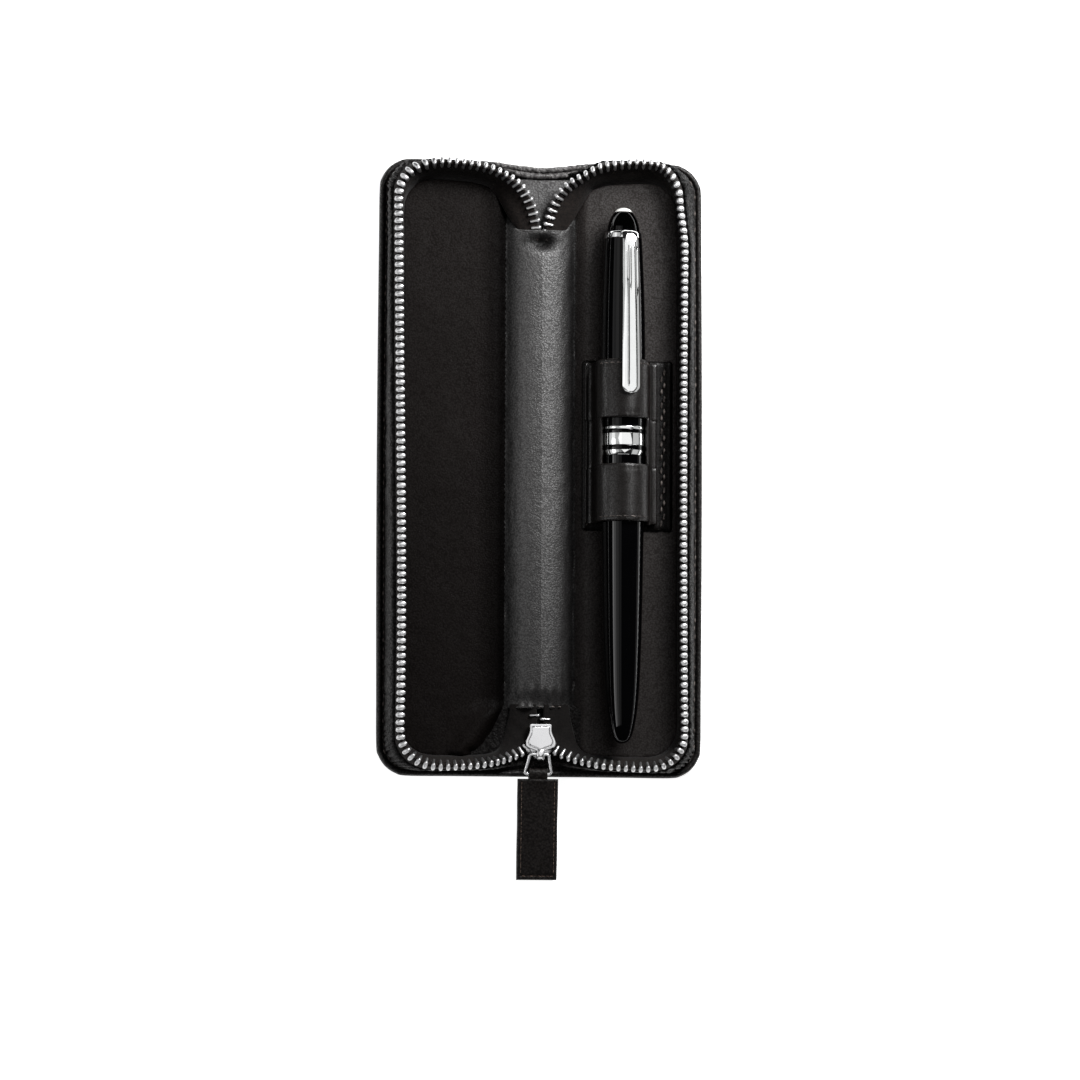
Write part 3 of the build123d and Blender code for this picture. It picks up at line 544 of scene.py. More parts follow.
def leather(name, dark, light, roughness, grain, pebble, fine, gloss, crease=0.0,
            crease_size=1.4, contrast=0.7, fade=None, patch=None, grades=()):
    """Black leather with rounded pebbles, pores and an uneven tone.

    dark, light: the patchy base tone. contrast: how much hollows darken it.
    grain, crease_size: pebble and crease sizes in mm. pebble, fine, crease: bump depths in mm.
    fade: (start |x|, end |x|, factor at the end) of painted shade towards the crease.
    patch: (x, y, radius x, radius y, factor) of a painted shadow.
    grades: rows of (axis, low, high, factor at low, factor at high) of painted light and shade.
    """
    shader = Shader(name)
    drift = shader.noise(700.0, 2.0, 0.5, output="Color")
    drift = shader.node("ShaderNodeVectorMath", {0: drift, "Scale": 0.0006}, operation="SCALE")
    warped = shader.node("ShaderNodeVectorMath", {0: shader.place, 1: drift}, operation="ADD")
    cells = shader.node("ShaderNodeTexVoronoi", {
        "Scale": 1000.0 / grain, "Randomness": 1.0, "Vector": warped}, "Distance", feature="F1")
    pores = shader.noise(1000.0 / 0.34, 3.0, 0.65)
    patches = shader.noise(45.0, 4.0, 0.6)
    blotches = shader.noise(320.0, 4.0, 0.65)
    ridge = shader.math("SUBTRACT", 1.0,
                        shader.math("POWER", shader.span(cells, 0.0, 0.75, 0.0, 1.0), 1.7))
    relief = shader.weigh(ridge, 0.6, pores, 0.8)
    colour = shader.multiply_colour(
        contrast, shader.ramp(patches, (0.25, dark), (0.75, light)),
        shader.ramp(relief, (0.35, (0.12, 0.10, 0.10)), (1.0, (1.5, 1.5, 1.5))))
    specular = shader.math("MULTIPLY", shader.span(relief, 0.45, 1.05, 0.6, 1.25), gloss)
    # painted shade, shadow and light falloff multiply the colour and the gloss
    if fade:
        depth = painted_shade_factor(shader, blotches, fade, patch, grades)
        colour = shader.multiply_colour(1.0, colour, depth)
        specular = shader.math("MULTIPLY", specular, depth)
    hollows = shader.math("MULTIPLY", shader.math("SUBTRACT", 1.0, ridge), 0.12)
    uneven = shader.span(blotches, 0.3, 0.7, roughness - 0.05, roughness + 0.06)
    normal = shader.bump(ridge, pebble * MM)
    normal = shader.bump(pores, fine * MM * 4.0, 1.0, normal)
    normal = shader.bump(blotches, fine * MM * 6.0, 1.0, normal)
    if crease:
        creases = shader.noise(1000.0 / crease_size, 4.0, 0.6, distortion=1.2)
        normal = shader.bump(creases, crease * MM, 1.0, normal)
    shader.surface({"Base Color": colour, "Roughness": shader.math("ADD", uneven, hollows),
                    "Specular IOR Level": specular, "Normal": normal,
                    "Coat Roughness": 0.3, "Sheen Roughness": 0.4})
    return shader.material


def metal(name, colour, roughness, scratch=0.0, wave=0.0):
    """Plated metal with uneven gloss, hairlines along y and a slight waviness."""
    shader = Shader(name)
    blotches = shader.noise(420.0, 3.0, 0.55)
    tint = shader.noise(150.0, 2.0, 0.5)
    lines = shader.noise(3000.0, 2.0, 0.5, shader.stretched((1, 0.06, 1)))
    uneven = shader.span(blotches, 0.3, 0.75, roughness * 0.8, roughness * 1.35)
    hairlines = shader.bump(lines, wave * MM * 0.25, 0.4)
    shader.surface({
        "Base Color": shader.ramp(tint, (0.3, brighter(colour, 0.93, 0)), (0.7, colour)),
        "Roughness": shader.math("ADD", uneven, shader.span(lines, 0.45, 0.75, 0.0, scratch)),
        "Metallic": 1.0,
        "Normal": shader.bump(blotches, wave * MM * 2.0, 0.5, hairlines)})
    return shader.material


def resin(name, colour, roughness):
    """Polished resin with a trace of haze and hairlines."""
    shader = Shader(name)
    haze = shader.noise(90.0, 3.0, 0.55)
    hair = shader.noise(2600.0, 2.0, 0.5, shader.stretched((1, 0.05, 1)))
    uneven = shader.span(haze, 0.3, 0.7, roughness * 0.8, roughness * 1.3)
    shader.surface({
        "Base Color": shader.ramp(haze, (0.3, colour), (0.7, brighter(colour, 1.25, 0.0002))),
        "Roughness": shader.math("ADD", uneven, shader.span(hair, 0.6, 0.85, 0.0, 0.03)),
        "Normal": shader.bump(haze, 0.000004, 0.3)})
    return shader.material


def fabric(name, dark, light):
    """Woven tape: fine ribs broken up by the weft, with fuzz."""
    shader = Shader(name)
    ribs, weft = (shader.noise(2300.0, 3.0, 0.6, shader.stretched(scale))
                  for scale in ((1, 0.28, 1), (0.28, 1, 1)))
    weave = shader.math("MAXIMUM", ribs, weft)
    relief = shader.weigh(weave, 0.6, shader.noise(1300.0, 5.0, 0.75), 0.5)
    shader.surface({"Base Color": shader.ramp(relief, (0.45, dark), (0.8, light)),
                    "Roughness": 0.85, "Specular IOR Level": 0.2, "Sheen Weight": 0.05,
                    "Normal": shader.bump(relief, 0.00025)})
    return shader.material


def thread(name, dark, light):
    """Twisted thread with fuzz."""
    shader = Shader(name)
    twist = shader.node("ShaderNodeTexWave", {
        "Scale": 260.0, "Distortion": 0.8, "Vector": shader.place}, "Fac",
        wave_type="BANDS", bands_direction="DIAGONAL")
    relief = shader.weigh(twist, 0.6, shader.noise(3500.0, 3.0, 0.7), 0.5)
    shader.surface({"Base Color": shader.ramp(relief, (0.3, dark), (0.9, light)),
                    "Roughness": 0.7, "Normal": shader.bump(relief, 0.00005)})
    return shader.material


def moulded(name, colour, roughness):
    """Matt moulded plastic or board with a fine grain."""
    shader = Shader(name)
    grain = shader.noise(1800.0, 3.0, 0.6)
    shader.surface({
        "Base Color": shader.ramp(grain, (0.3, colour), (0.7, brighter(colour, 1.3, 0.001))),
        "Roughness": shader.span(grain, 0.3, 0.7, roughness - 0.06, roughness + 0.06),
        "Normal": shader.bump(grain, 0.00001, 0.5)})
    return shader.material


def clear(name):
    """Clear plastic."""
    shader = Shader(name)
    haze = shader.noise(400.0, 2.0, 0.5)
    shader.surface({
        "Roughness": shader.span(haze, 0.3, 0.7, 0.05, 0.12),
        "Transmission Weight": 0.9,
        "Base Color": shader.ramp(haze, (0.3, (0.80, 0.83, 0.86)), (0.7, (0.9, 0.92, 0.94)))})
    return shader.material


def floor_material():
    """White that glows a little."""
    shader = Shader("floor")
    tone = shader.noise(30.0, 2.0, 0.5)
    shader.surface({
        "Base Color": shader.ramp(tone, (0.3, (0.93, 0.93, 0.93)), (0.7, (0.95, 0.95, 0.95))),
        "Roughness": 0.9, "Specular IOR Level": 0.1,
        "Emission Color": (1, 1, 1, 1), "Emission Strength": 0.95})
    return shader.material


COVER = leather(
    "cover_leather", dark=(0.0080, 0.0068, 0.0064), light=(0.0130, 0.0112, 0.0105),
    roughness=0.42, grain=0.6, pebble=0.05, fine=0.012, crease=0.10, gloss=0.45)
# The right panel's copy is lighter and glossier, as painted light; fade darkens it towards the
# crease as painted shade, and grades make it darker towards the pull end and lighter towards the
# cap end, as painted light falloff.
LINING = leather(
    "lining_leather", dark=(0.0100, 0.0076, 0.0069), light=(0.0140, 0.0108, 0.0098),
    roughness=0.52, grain=0.44, pebble=0.030, fine=0.012, gloss=0.26, contrast=0.28,
    fade=(12.5, 9.3, 0.35), grades=((1, -55.0, 5.0, 0.74, 1.0), (1, 5.0, 60.0, 1.0, 1.1)))
# A darker, less glossy copy of the lining for the left panel, as painted shade, with painted crease
# shade and a painted light falloff along y.
SHADED_LEFT_LINING = leather(
    "left_lining_leather", dark=(0.0072, 0.0052, 0.0046), light=(0.0100, 0.0074, 0.0066),
    roughness=0.50, grain=0.44, pebble=0.036, fine=0.014, gloss=0.15, contrast=0.35,
    fade=(17.0, 10.5, 0.2), grades=((1, -60.0, 60.0, 0.66, 0.88),))
# fade darkens the spine towards its creases as painted shade; patch is a painted shadow just below
# the cap end of the zip; grades paint light on the left of the crown and shade on its right, and
# shade towards the pull end.
SPINE = leather(
    "spine_leather", dark=(0.022, 0.0205, 0.0202), light=(0.031, 0.0290, 0.0286),
    roughness=0.46, grain=0.48, pebble=0.040, fine=0.014, crease=0.08, gloss=1.2, contrast=0.25,
    fade=(4.8, 9.3, 0.14), patch=(0.0, 60.5, 5.0, 2.8, 0.08),
    grades=((0, -6.0, -1.0, 1.3, 1.0), (0, -1.0, 4.2, 1.0, 0.68),
            (1, -62.0, -12.0, 0.62, 0.96), (1, -12.0, 55.0, 1.0, 1.12)))
# Light grey base: a painted sheen on the hem rolls of the black leather.
HEM_SHEEN = leather(
    "hem_leather_painted_sheen", dark=(0.075, 0.071, 0.070), light=(0.120, 0.115, 0.113),
    roughness=0.42, grain=0.7, pebble=0.08, fine=0.016, crease=0.25, crease_size=0.9, gloss=0.8)
# The same black leather at both ends of the spine: light grey at the cap end as a painted sheen,
# near black at the pull end as a painted shadow.
CAP_FLAT_SHEEN = leather(
    "spine_end_leather_painted_sheen", dark=(0.052, 0.050, 0.050), light=(0.070, 0.068, 0.068),
    roughness=0.42, grain=0.55, pebble=0.035, fine=0.010, crease=0.05, gloss=0.6, contrast=0.45)
PULL_FLAT_SHADOW = leather(
    "spine_foot_leather_painted_shadow", dark=(0.0020, 0.0016, 0.0015), light=(0.0050, 0.0041, 0.0038),
    roughness=0.48, grain=0.6, pebble=0.09, fine=0.02, crease=0.35, gloss=0.15)
GUSSET = leather(
    "gusset_leather", dark=(0.0060, 0.0052, 0.0050), light=(0.0150, 0.0132, 0.0127),
    roughness=0.42, grain=0.65, pebble=0.09, fine=0.02, crease=0.7, crease_size=1.1, gloss=0.36,
    contrast=0.8)
BACKING = leather(
    "backing_leather", dark=(0.0022, 0.0016, 0.0014), light=(0.0040, 0.0030, 0.0027),
    roughness=0.42, grain=0.42, pebble=0.020, fine=0.008, gloss=0.3, contrast=0.3)
LOOP = leather(
    "loop_leather", dark=(0.0044, 0.0033, 0.0029), light=(0.0068, 0.0053, 0.0048),
    roughness=0.29, grain=0.42, pebble=0.010, fine=0.005, gloss=0.6, contrast=0.25)
TAB = leather(
    "tab_leather", dark=(0.0072, 0.0055, 0.0050), light=(0.0108, 0.0085, 0.0078),
    roughness=0.46, grain=0.6, pebble=0.05, fine=0.014, gloss=0.25)
TAPE = fabric("zip_tape_weave", dark=(0.0024, 0.0015, 0.0012), light=(0.0190, 0.0135, 0.0115))
# A darker copy of the tape for the pull end, as painted shade.
TAPE_SHADED = fabric("zip_tape_weave_shaded", dark=(0.0012, 0.0008, 0.0007),
                  light=(0.0090, 0.0066, 0.0058))
TEETH = metal("zip_nickel", colour=(0.63, 0.63, 0.635), roughness=0.33, scratch=0.06, wave=0.002)
SLIDER = metal("slider_nickel", colour=(0.74, 0.74, 0.75), roughness=0.22, scratch=0.05,
               wave=0.002)
# Near-black metal for the clip's groove floor: painted shade in the groove.
GROOVE_SHADE = metal("clip_groove_painted_shade", colour=(0.045, 0.045, 0.046), roughness=0.4)
CHROME = metal("pen_plating", colour=(0.88, 0.89, 0.885), roughness=0.08, scratch=0.02,
               wave=0.0004)
RESIN = resin("black_resin", colour=(0.0006, 0.0006, 0.0008), roughness=0.05)
INLAY = resin("ivory_resin", colour=(0.78, 0.77, 0.74), roughness=0.15)
THREAD = thread("dark_thread", dark=(0.034, 0.027, 0.024), light=(0.210, 0.180, 0.165))
TAB_THREAD = thread("tab_thread", dark=(0.05, 0.032, 0.024), light=(0.20, 0.14, 0.11))
BOARD = moulded("board", colour=(0.02, 0.018, 0.016), roughness=0.7)
INNER = moulded("moulded_black", colour=(0.012, 0.012, 0.013), roughness=0.45)
STEEL = metal("nib_steel", colour=(0.74, 0.71, 0.64), roughness=0.16, scratch=0.08)
CLEAR = clear("clear_tube")

# ------------------------------------------------------------------ rails of the right half
# Every rail has the same stations: 0..9 at the cap end from the spine outwards, 10..14 the
# corner, 15..23 the long side, 24..28 the other corner, 29..38 back to the spine.
LAST = 38
END_X = np.array([0, 1.2, 3.0, 5.0, 7.5, 10.0, 12.5, 15.2, 18.5, 23.5])
SIDE_Y = np.array([60, 45, 30, 15, 0, -15, -30, -45, -60.0])
CORNER_ANGLES = np.radians([0, 22.5, 45, 67.5, 90])

# Outline of the cover
COVER_X, COVER_Y, COVER_RADIUS, COVER_BOW = 43.2, 82.1, 8.3, 0.35
CAP_END_Y = np.array([80.45, 80.5, 80.62, 80.82, 81.15, 81.5, 81.78, 81.95, 82.0, 82.05])


def rail(cap_end, pull_end, side_x, end_y, radius, z, bow):
    """Control points: the given stations of each end, joined by a rounded rectangle."""
    corner = np.c_[side_x - radius + radius * np.sin(CORNER_ANGLES),
                   end_y - radius + radius * np.cos(CORNER_ANGLES), np.full(5, z)]
    long_side = np.c_[side_x + bow * (1 - (SIDE_Y / 72.0) ** 2), SIDE_Y, np.full(9, z)]
    return np.vstack([cap_end, corner, long_side, corner[::-1] * [1, -1, 1], pull_end[::-1]])


def end_points(y, z):
    return np.c_[END_X, np.broadcast_to(y, 10), np.broadcast_to(z, 10)]


def inset(distance, z):
    """The cover's outline moved inwards, at height z."""
    return rail(end_points(CAP_END_Y - distance, z), end_points(-COVER_Y + distance, z),
                COVER_X - distance, COVER_Y - distance, COVER_RADIUS - distance, z, COVER_BOW)


# The tape's edge that carries the teeth, and its foot beside the lining: (x, y, z) of the ends
TOOTH_RAIL = rail(
    [(0.95, 60.6, 3.4), (1.0, 63.2, 3.5), (1.4, 65.8, 4.0), (2.6, 69.6, 4.9), (4.5, 73.0, 6.0),
     (6.7, 75.2, 7.0), (9.9, 77.1, 8.1), (14.0, 78.5, 9.1), (18.5, 79.35, 9.6),
     (23.5, 79.85, 9.8)],
    [(1.0, -63.0, 3.4), (1.0, -69.6, 3.4), (1.9, -72.8, 3.4), (3.4, -75.1, 3.8),
     (5.6, -76.3, 4.5), (8.2, -77.3, 5.5), (10.8, -78.1, 6.6), (14.2, -78.9, 8.1),
     (18.5, -79.5, 9.2), (23.5, -79.85, 9.75)],
    side_x=37.15, end_y=79.9, radius=9.2, z=9.8, bow=-0.4)
FOOT_RAIL = rail(
    [(4.6, 59.7, 3.0), (5.3, 62.0, 3.0), (7.2, 64.6, 2.9), (9.3, 67.8, 2.75), (11.0, 70.8, 2.6),
     (12.3, 73.0, 2.5), (13.8, 74.7, 2.45), (16.3, 75.7, 2.45), (19.5, 76.3, 2.45),
     (24.0, 76.6, 2.45)],
    [(7.6, -63.0, 2.9), (7.9, -65.3, 2.8), (8.3, -67.4, 2.6), (8.8, -69.7, 2.5),
     (9.4, -71.9, 2.45), (10.4, -74.0, 2.4), (12.2, -75.8, 2.45), (15.5, -76.5, 2.45),
     (19.5, -76.7, 2.45), (24.0, -76.8, 2.45)],
    side_x=36.9, end_y=76.75, radius=8.2, z=2.45, bow=-0.1)

# The gusset from the cover's groove over its top to the inside: side x, end y, corner radius,
# height on the wall, bow of the side, inset at the spine, how much of it is lost towards the
# wall, and height at the spine
GUSSET_ROWS = (
    (41.0, 79.85, 6.3, 1.45, 0.3, 2.15, 0.0, 1.45),
    (41.15, 80.2, 6.9, 2.6, 0.25, 2.1, 0.0, 1.95),
    (40.8, 80.55, 7.6, 4.4, 0.1, 2.05, 0.5, 2.15),
    (40.05, 80.8, 8.2, 6.2, -0.05, 2.3, 1.0, 2.3),
    (39.2, 80.85, 8.7, 7.35, -0.2, 2.7, 1.45, 2.32),
    (38.6, 80.65, 8.7, 7.4, -0.25, 3.1, 1.6, 2.2),
    (38.2, 80.2, 8.6, 6.9, -0.3, 3.4, 1.6, 1.9),
    (38.0, 79.3, 8.0, 2.2, -0.2, 3.5, 0.9, 1.5),
)


def gusset_rail(side_x, end_y, radius, z, bow, spine_inset, gain, spine_z):
    towards_wall = ease(4.0, 17.5, END_X)
    heights = spine_z + (z - spine_z) * towards_wall
    y = CAP_END_Y - spine_inset + gain * towards_wall
    pull_y = -y - 0.9 * (1 - np.minimum(END_X / 12.0, 1.0))
    return rail(end_points(y, heights), end_points(pull_y, heights),
                side_x, end_y, radius, z, bow)


GUSSET_RAILS = [gusset_rail(*row) for row in GUSSET_ROWS]

STATIONS = np.linspace(0, LAST, 4000)
TOOTH_ARC = arc_length(spline(TOOTH_RAIL, STATIONS))
COVER_ARC = arc_length(spline(inset(0.0, 0.0), STATIONS))
TOOTH_LENGTH = TOOTH_ARC[-1]


def station_of(distance):
    """Rail parameter at this length along the tooth rail."""
    return np.interp(distance, TOOTH_ARC, STATIONS)


def station_at_x(points, x):
    u = np.linspace(5, 9, 400)
    return float(np.interp(x, spline(points, u)[:, 0], u))


def zones(u, start, end):
    """The parameters of the cap-end bend, the wall and the pull-end bend."""
    return [("cap_end", np.r_[u[u < start], start]),
            ("wall", np.r_[start, u[(u > start) & (u < end)], end]),
            ("pull_end", np.r_[end, u[u > end]])]


# Where the zip stops riding on the half, towards the crease
ZIP_START = station_at_x(TOOTH_RAIL, 17.3)
ZIP_END = LAST - station_at_x(TOOTH_RAIL[::-1], 17.3)

# ------------------------------------------------------------------ zip tape
TAPE_HALF, CORD_HALF = 0.36, 0.50
TAPE_STEP = 0.42
TAPE_S = np.linspace(0, TOOTH_LENGTH, int(TOOTH_LENGTH / TAPE_STEP))


def tape_sections(u):
    """From the tip down the inner face to the foot and back up the outer face."""
    edge, foot = spline(TOOTH_RAIL, u), spline(FOOT_RAIL, u)
    crest, behind = (spline(GUSSET_RAILS[k], u) for k in (5, 6))
    behind = behind - np.array([0, 0, 0.9])
    rise = unit(edge - foot)
    wall = ease(7.0, 15.5, edge[:, 0:1])
    # out points out of the case on the walls and down beside the spine
    out = unit(np.cross(tangents(edge), rise))
    out = out * np.sign((out * (crest - edge)).sum(1, keepdims=True) + 1e-9)
    down = np.where(out[:, 2:] > 0, -out, out)
    out = unit(out * wall + down * (1 - wall))
    sag = 0.10 * np.linalg.norm(edge - foot, axis=1)[:, None] * (1 - wall)
    high, low = foot + (edge - foot) * 0.72, foot + (edge - foot) * 0.4
    wobble = 0.14 * fractal(TAPE_S[:len(u), None] / 9.0 + u[:, None], 0, 5)
    outer_low = (low + out * (TAPE_HALF + sag * 0.5 - wobble)) * (1 - wall)
    outer_low = outer_low + (behind * 0.6 + low * 0.4) * wall
    outer_high = (high + out * (TAPE_HALF + sag * 0.3 - wobble)) * (1 - wall)
    outer_high = outer_high + (crest * 0.85 + edge * 0.15 + np.array([0, 0, 0.3])) * wall
    return np.stack([
        edge + rise * 0.12,
        edge - out * TAPE_HALF,
        edge - out * CORD_HALF - rise * 0.35,
        high - out * (TAPE_HALF - sag * 0.35 + wobble),
        low - out * (TAPE_HALF - sag * 0.55 + wobble),
        foot - out * 0.2,
        foot + out * 0.35 - rise * 0.25,
        outer_low,
        outer_high,
        edge + out * CORD_HALF - rise * 0.35,
        edge + out * TAPE_HALF], 1)


for side, tag in SIDES.items():
    for zone, u in zones(station_of(TAPE_S), ZIP_START, ZIP_END):
        # the pull end's tape is the darker copy, as painted shade
        ob = swept(f"{tag}_tape_{zone}", to_side(tape_sections(u), side),
                   TAPE_SHADED if zone == "pull_end" else TAPE)
        attach_zip(ob, side, zone, "tape")

# ------------------------------------------------------------------ zip teeth
PITCH = 1.952
# Height above the tape's edge, half size along the chain, half size through the tape
TOOTH_LEVELS = (
    (-1.78, 0.40, 0.80), (-1.68, 0.52, 0.90), (-1.3, 0.58, 0.95), (-0.5, 0.60, 0.96),
    (-0.1, 0.66, 0.97), (0.2, 0.72, 0.98), (0.45, 0.735, 0.98), (0.65, 0.69, 0.93),
    (0.79, 0.60, 0.82), (0.90, 0.46, 0.65), (0.97, 0.29, 0.42), (1.0, 0.12, 0.18),
)


def tooth_mesh():
    """One tooth: x along the chain, y through the tape, z towards the head."""
    rings = []
    for z, half_x, half_y in TOOTH_LEVELS:
        x, y = soft_box(half_x, half_y, 0.8)
        waist = 1 - 0.14 * bell(z, -0.35, 0.32)
        rings.append(np.c_[x * waist, y, np.full(len(x), z)])
    return capped(rings, [(0, 0, -1.8), (0, 0, 1.01)])


TOOTH_VERTS, TOOTH_FACES = tooth_mesh()


def tooth_frames(phase):
    """Each tooth's station, place, and directions along the chain, across and to the head."""
    distance = 0.6 + phase + np.arange(int((TOOTH_LENGTH - 1.2) / PITCH)) * PITCH
    distance = distance[distance < TOOTH_LENGTH - 0.4]
    u = station_of(distance)
    place = spline(TOOTH_RAIL, u)
    before, after = (spline(TOOTH_RAIL, station_of(distance + d)) for d in (-0.3, 0.3))
    along = unit(after - before)
    # heads stand upright on the walls, tipped at the ends, and in line with the tape by the spine
    wall = ease(8.0, 17.0, place[:, 0:1])
    tip = ease(70.0, 79.0, np.abs(place[:, 1])) * np.where(place[:, 1] > 0, 0.5, -0.85)
    upright = unit(np.c_[np.zeros(len(u)), tip, np.ones(len(u))])
    head = unit(unit(place - spline(FOOT_RAIL, u)) * (1 - wall) + upright * wall)
    head = unit(head - along * (head * along).sum(1, keepdims=True))
    return u, place, along, unit(np.cross(head, along)), head


def teeth(name, frames, chosen, side):
    _, place, along, across, head = frames
    x, y = place[:, 0], place[:, 1]
    # teeth under the spine's lining and inside the slider are left out
    hidden = (np.abs(y) < 62.4) & (x < 6.0) | (y < -67.3) & (y > -70.5) & (x < 2.5)
    faces = TOOTH_FACES if side > 0 else [tuple(reversed(f)) for f in TOOTH_FACES]
    parts = []
    for i in np.where(chosen & ~hidden)[0]:
        skew = 0.03 * hash_noise(i, side, 3)
        wide = 1.0 if side > 0 else 1.0 + 0.22 * ease(20.0, 34.0, x[i])
        thin = 1.04 - 0.28 * max(ease(70.0, 79.0, abs(y[i])), ease(20.0, 10.0, x[i]))
        if y[i] < 0 and x[i] < 2.5:
            thin, wide = 0.55, 0.85
        verts = (place[i] + TOOTH_VERTS[:, 0:1] * (along[i] + skew * across[i]) * thin
                 + TOOTH_VERTS[:, 1:2] * across[i] * wide + TOOTH_VERTS[:, 2:3] * head[i])
        parts.append((to_side(verts, side), faces))
    return make(name, *merged(parts), TEETH)


for side, tag in SIDES.items():
    frames = tooth_frames(0.0 if side > 0 else PITCH / 2)
    u = frames[0]
    for zone, chosen in (("cap_end", u <= ZIP_START),
                         ("wall", (u > ZIP_START) & (u < ZIP_END)),
                         ("pull_end", u >= ZIP_END)):
        attach_zip(teeth(f"{tag}_teeth_{zone}", frames, chosen, side), side, zone, "teeth")

# ------------------------------------------------------------------ gusset and its pleats
COVER_U = np.interp(np.linspace(0, COVER_ARC[-1], 1150), COVER_ARC, STATIONS)
GUSSET_START = station_at_x(inset(0.0, 0.0), 17.5)


def gusset_sections(u, side):
    rails = np.stack([spline(points, u) for points in GUSSET_RAILS], 1)
    arc = np.interp(u, STATIONS, TOOTH_ARC)
    along = tangents(rails[:, 2])
    corner = bell(u, 12.0, 2.3) + bell(u, 26.0, 2.3)
    for k in range(1, 6):
        out = unit(np.cross(rails[:, k + 1] - rails[:, k - 1], along))
        out = out * np.sign((out * (rails[:, k] - rails[:, 7])).sum(1, keepdims=True) + 1e-9)
        hem = ease(17.0, 8.0, np.abs(rails[:, k, 0]))
        phase = arc / 1.75 + 0.55 * noise(arc / 3.1, 3.0 * side, 9) + 0.03 * k
        pleats = np.sin(2 * math.pi * phase) * (0.75 + 0.25 * noise(arc / 2.3, k * 0.35, 4))
        fine = fractal(arc / 1.3, k * 0.8 + 9 * side, 21)
        broad = fractal(arc / 6.0, k * 0.4 + 5 * side, 31)
        depth = (0.46 * corner + 0.07 * hem) * pleats * (1.0 if k < 5 else 0.5)
        rails[:, k] += out * (0.22 * fine + 0.20 * broad + depth)[:, None]
    return rails


def doubled(sections):
    """Twice the points round each closed section, on a smooth curve through the given ones."""
    a, b, c, d = (np.roll(sections, k, 1) for k in (1, 0, -1, -2))
    both = np.stack([catmull_rom(a, b, c, d, f) for f in (0, 0.5)], 2)
    return both.reshape(len(sections), -1, 3)


for side, tag in SIDES.items():
    for zone, u in zones(COVER_U, GUSSET_START, LAST - GUSSET_START):
        sections = to_side(doubled(gusset_sections(u, side)), side)
        ob = swept(f"{tag}_gusset_{zone}", sections, GUSSET)
        if zone == "wall":
            attach(ob, f"{tag}_half", f"{tag}_gusset")
        else:
            bend(ob)

# stitches in the groove between the cover's edge and the gusset
for side, tag in SIDES.items():
    path = spline(inset(1.95, 1.62), np.linspace(9, LAST - 9, 900))
    ob = stitch_row(f"{tag}_edge_stitches", to_side(path, side), THREAD,
                    pitch=2.1, length=1.6, radius=0.21, lift=0.06, wave=0.1)
    attach(ob, f"{tag}_half", f"{tag}_gusset_thread")

# ------------------------------------------------------------------ outer leather
# Section of the rounded edge, from the underside round to the groove: inset, height
COVER_EDGE = (
    (1.3, 0.0), (0.9, 0.02), (0.5, 0.12), (0.2, 0.4), (0.04, 0.85), (0.0, 1.3), (0.06, 1.8),
    (0.3, 2.3), (0.7, 2.6), (1.1, 2.55), (1.45, 2.25), (1.7, 1.8), (1.9, 1.5), (2.3, 1.35),
)


def cover_edge_rings(side):
    arc = np.interp(COVER_U, STATIONS, COVER_ARC)
    rings = []
    for distance, z in COVER_EDGE:
        ring = spline(inset(distance, z), COVER_U)
        ring[:, 2] = z
        if z > 1.0:
            # lower and wrinkled beside the spine
            hem = ease(15.0, 6.0, ring[:, 0])
            wrinkle = (0.05 + 0.12 * hem) * fractal(arc / 1.1, distance * 1.4 + 7 * side, 41)
            wrinkle = wrinkle + 0.05 * fractal(arc / 5.0, distance, 43)
            ring[:, 2] = 1.0 + (z - 1.0) * (1 - 0.28 * hem) + wrinkle
        rings.append(ring)
    return np.stack(rings, 1)


def cover_mesh(side):
    """The edge rings and the flat faces inside them, still open at x = 0."""
    rings = cover_edge_rings(side)
    count, levels, _ = rings.shape
    xs = np.r_[np.arange(0, 6, 1.5), np.arange(6, 14, 0.5), np.arange(14, 43, 2.4)]
    grid_x, grid_y = np.meshgrid(xs, np.arange(-81, 81, 2.2))
    inner = np.c_[grid_x.ravel(), grid_y.ravel()]
    verts = list(rings.reshape(-1, 3))
    faces = grid_faces(count, levels)
    for level, underside in ((0, True), (levels - 1, False)):
        ring = rings[:, level, :2]
        seam = np.c_[np.zeros(60), np.linspace(ring[-1, 1], ring[0, 1], 62)[1:-1]]
        outline = np.vstack([ring, seam])
        kept = inside(inner, outline) & ~near(inner, outline, 0.7) & (inner[:, 0] > 0.5)
        flat, tris, sources = triangulate(outline, inner[kept])
        index = []
        for point, source in zip(flat, sources):
            if source and source[-1] < count:
                index.append(source[-1] * levels + level)
            else:
                index.append(len(verts))
                verts.append((*point, COVER_EDGE[level][1]))
        for tri in tris:
            face = [index[i] for i in tri]
            upward = signed_area(*(flat[i] for i in tri)) > 0
            faces.append(tuple(face if upward != underside else reversed(face)))
    return np.array(verts), faces


def close_seam(ob):
    """Fills the open cut at x = 0."""
    work = bmesh.new()
    work.from_mesh(ob.data)
    open_edges = [e for e in work.edges if len(e.link_faces) == 1]
    bmesh.ops.holes_fill(work, edges=open_edges, sides=0)
    bmesh.ops.triangulate(work, faces=[f for f in work.faces if len(f.verts) > 4])
    bmesh.ops.recalc_face_normals(work, faces=work.faces)
    work.to_mesh(ob.data)
    work.free()
    shade_smooth(ob.data)
    sharpen_seam(ob)


for side, tag in SIDES.items():
    verts, faces = cover_mesh(side)
    ob = make(f"{tag}_outer_leather", to_side(verts, side), faces, COVER)
    close_seam(ob)
    bend(ob)
    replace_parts(ob, f"{tag}_cover")
    if side == 1:
        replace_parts(ob, "spine_cover")

# ------------------------------------------------------------------ lining and raised spine
LINING_THICKNESS = 0.6
LINING_Y0, LINING_Y1 = -63.9, 63.0
PANEL_Z, CREASE_Z = 2.45, 1.45
SPINE_SKIN_X = 9.25
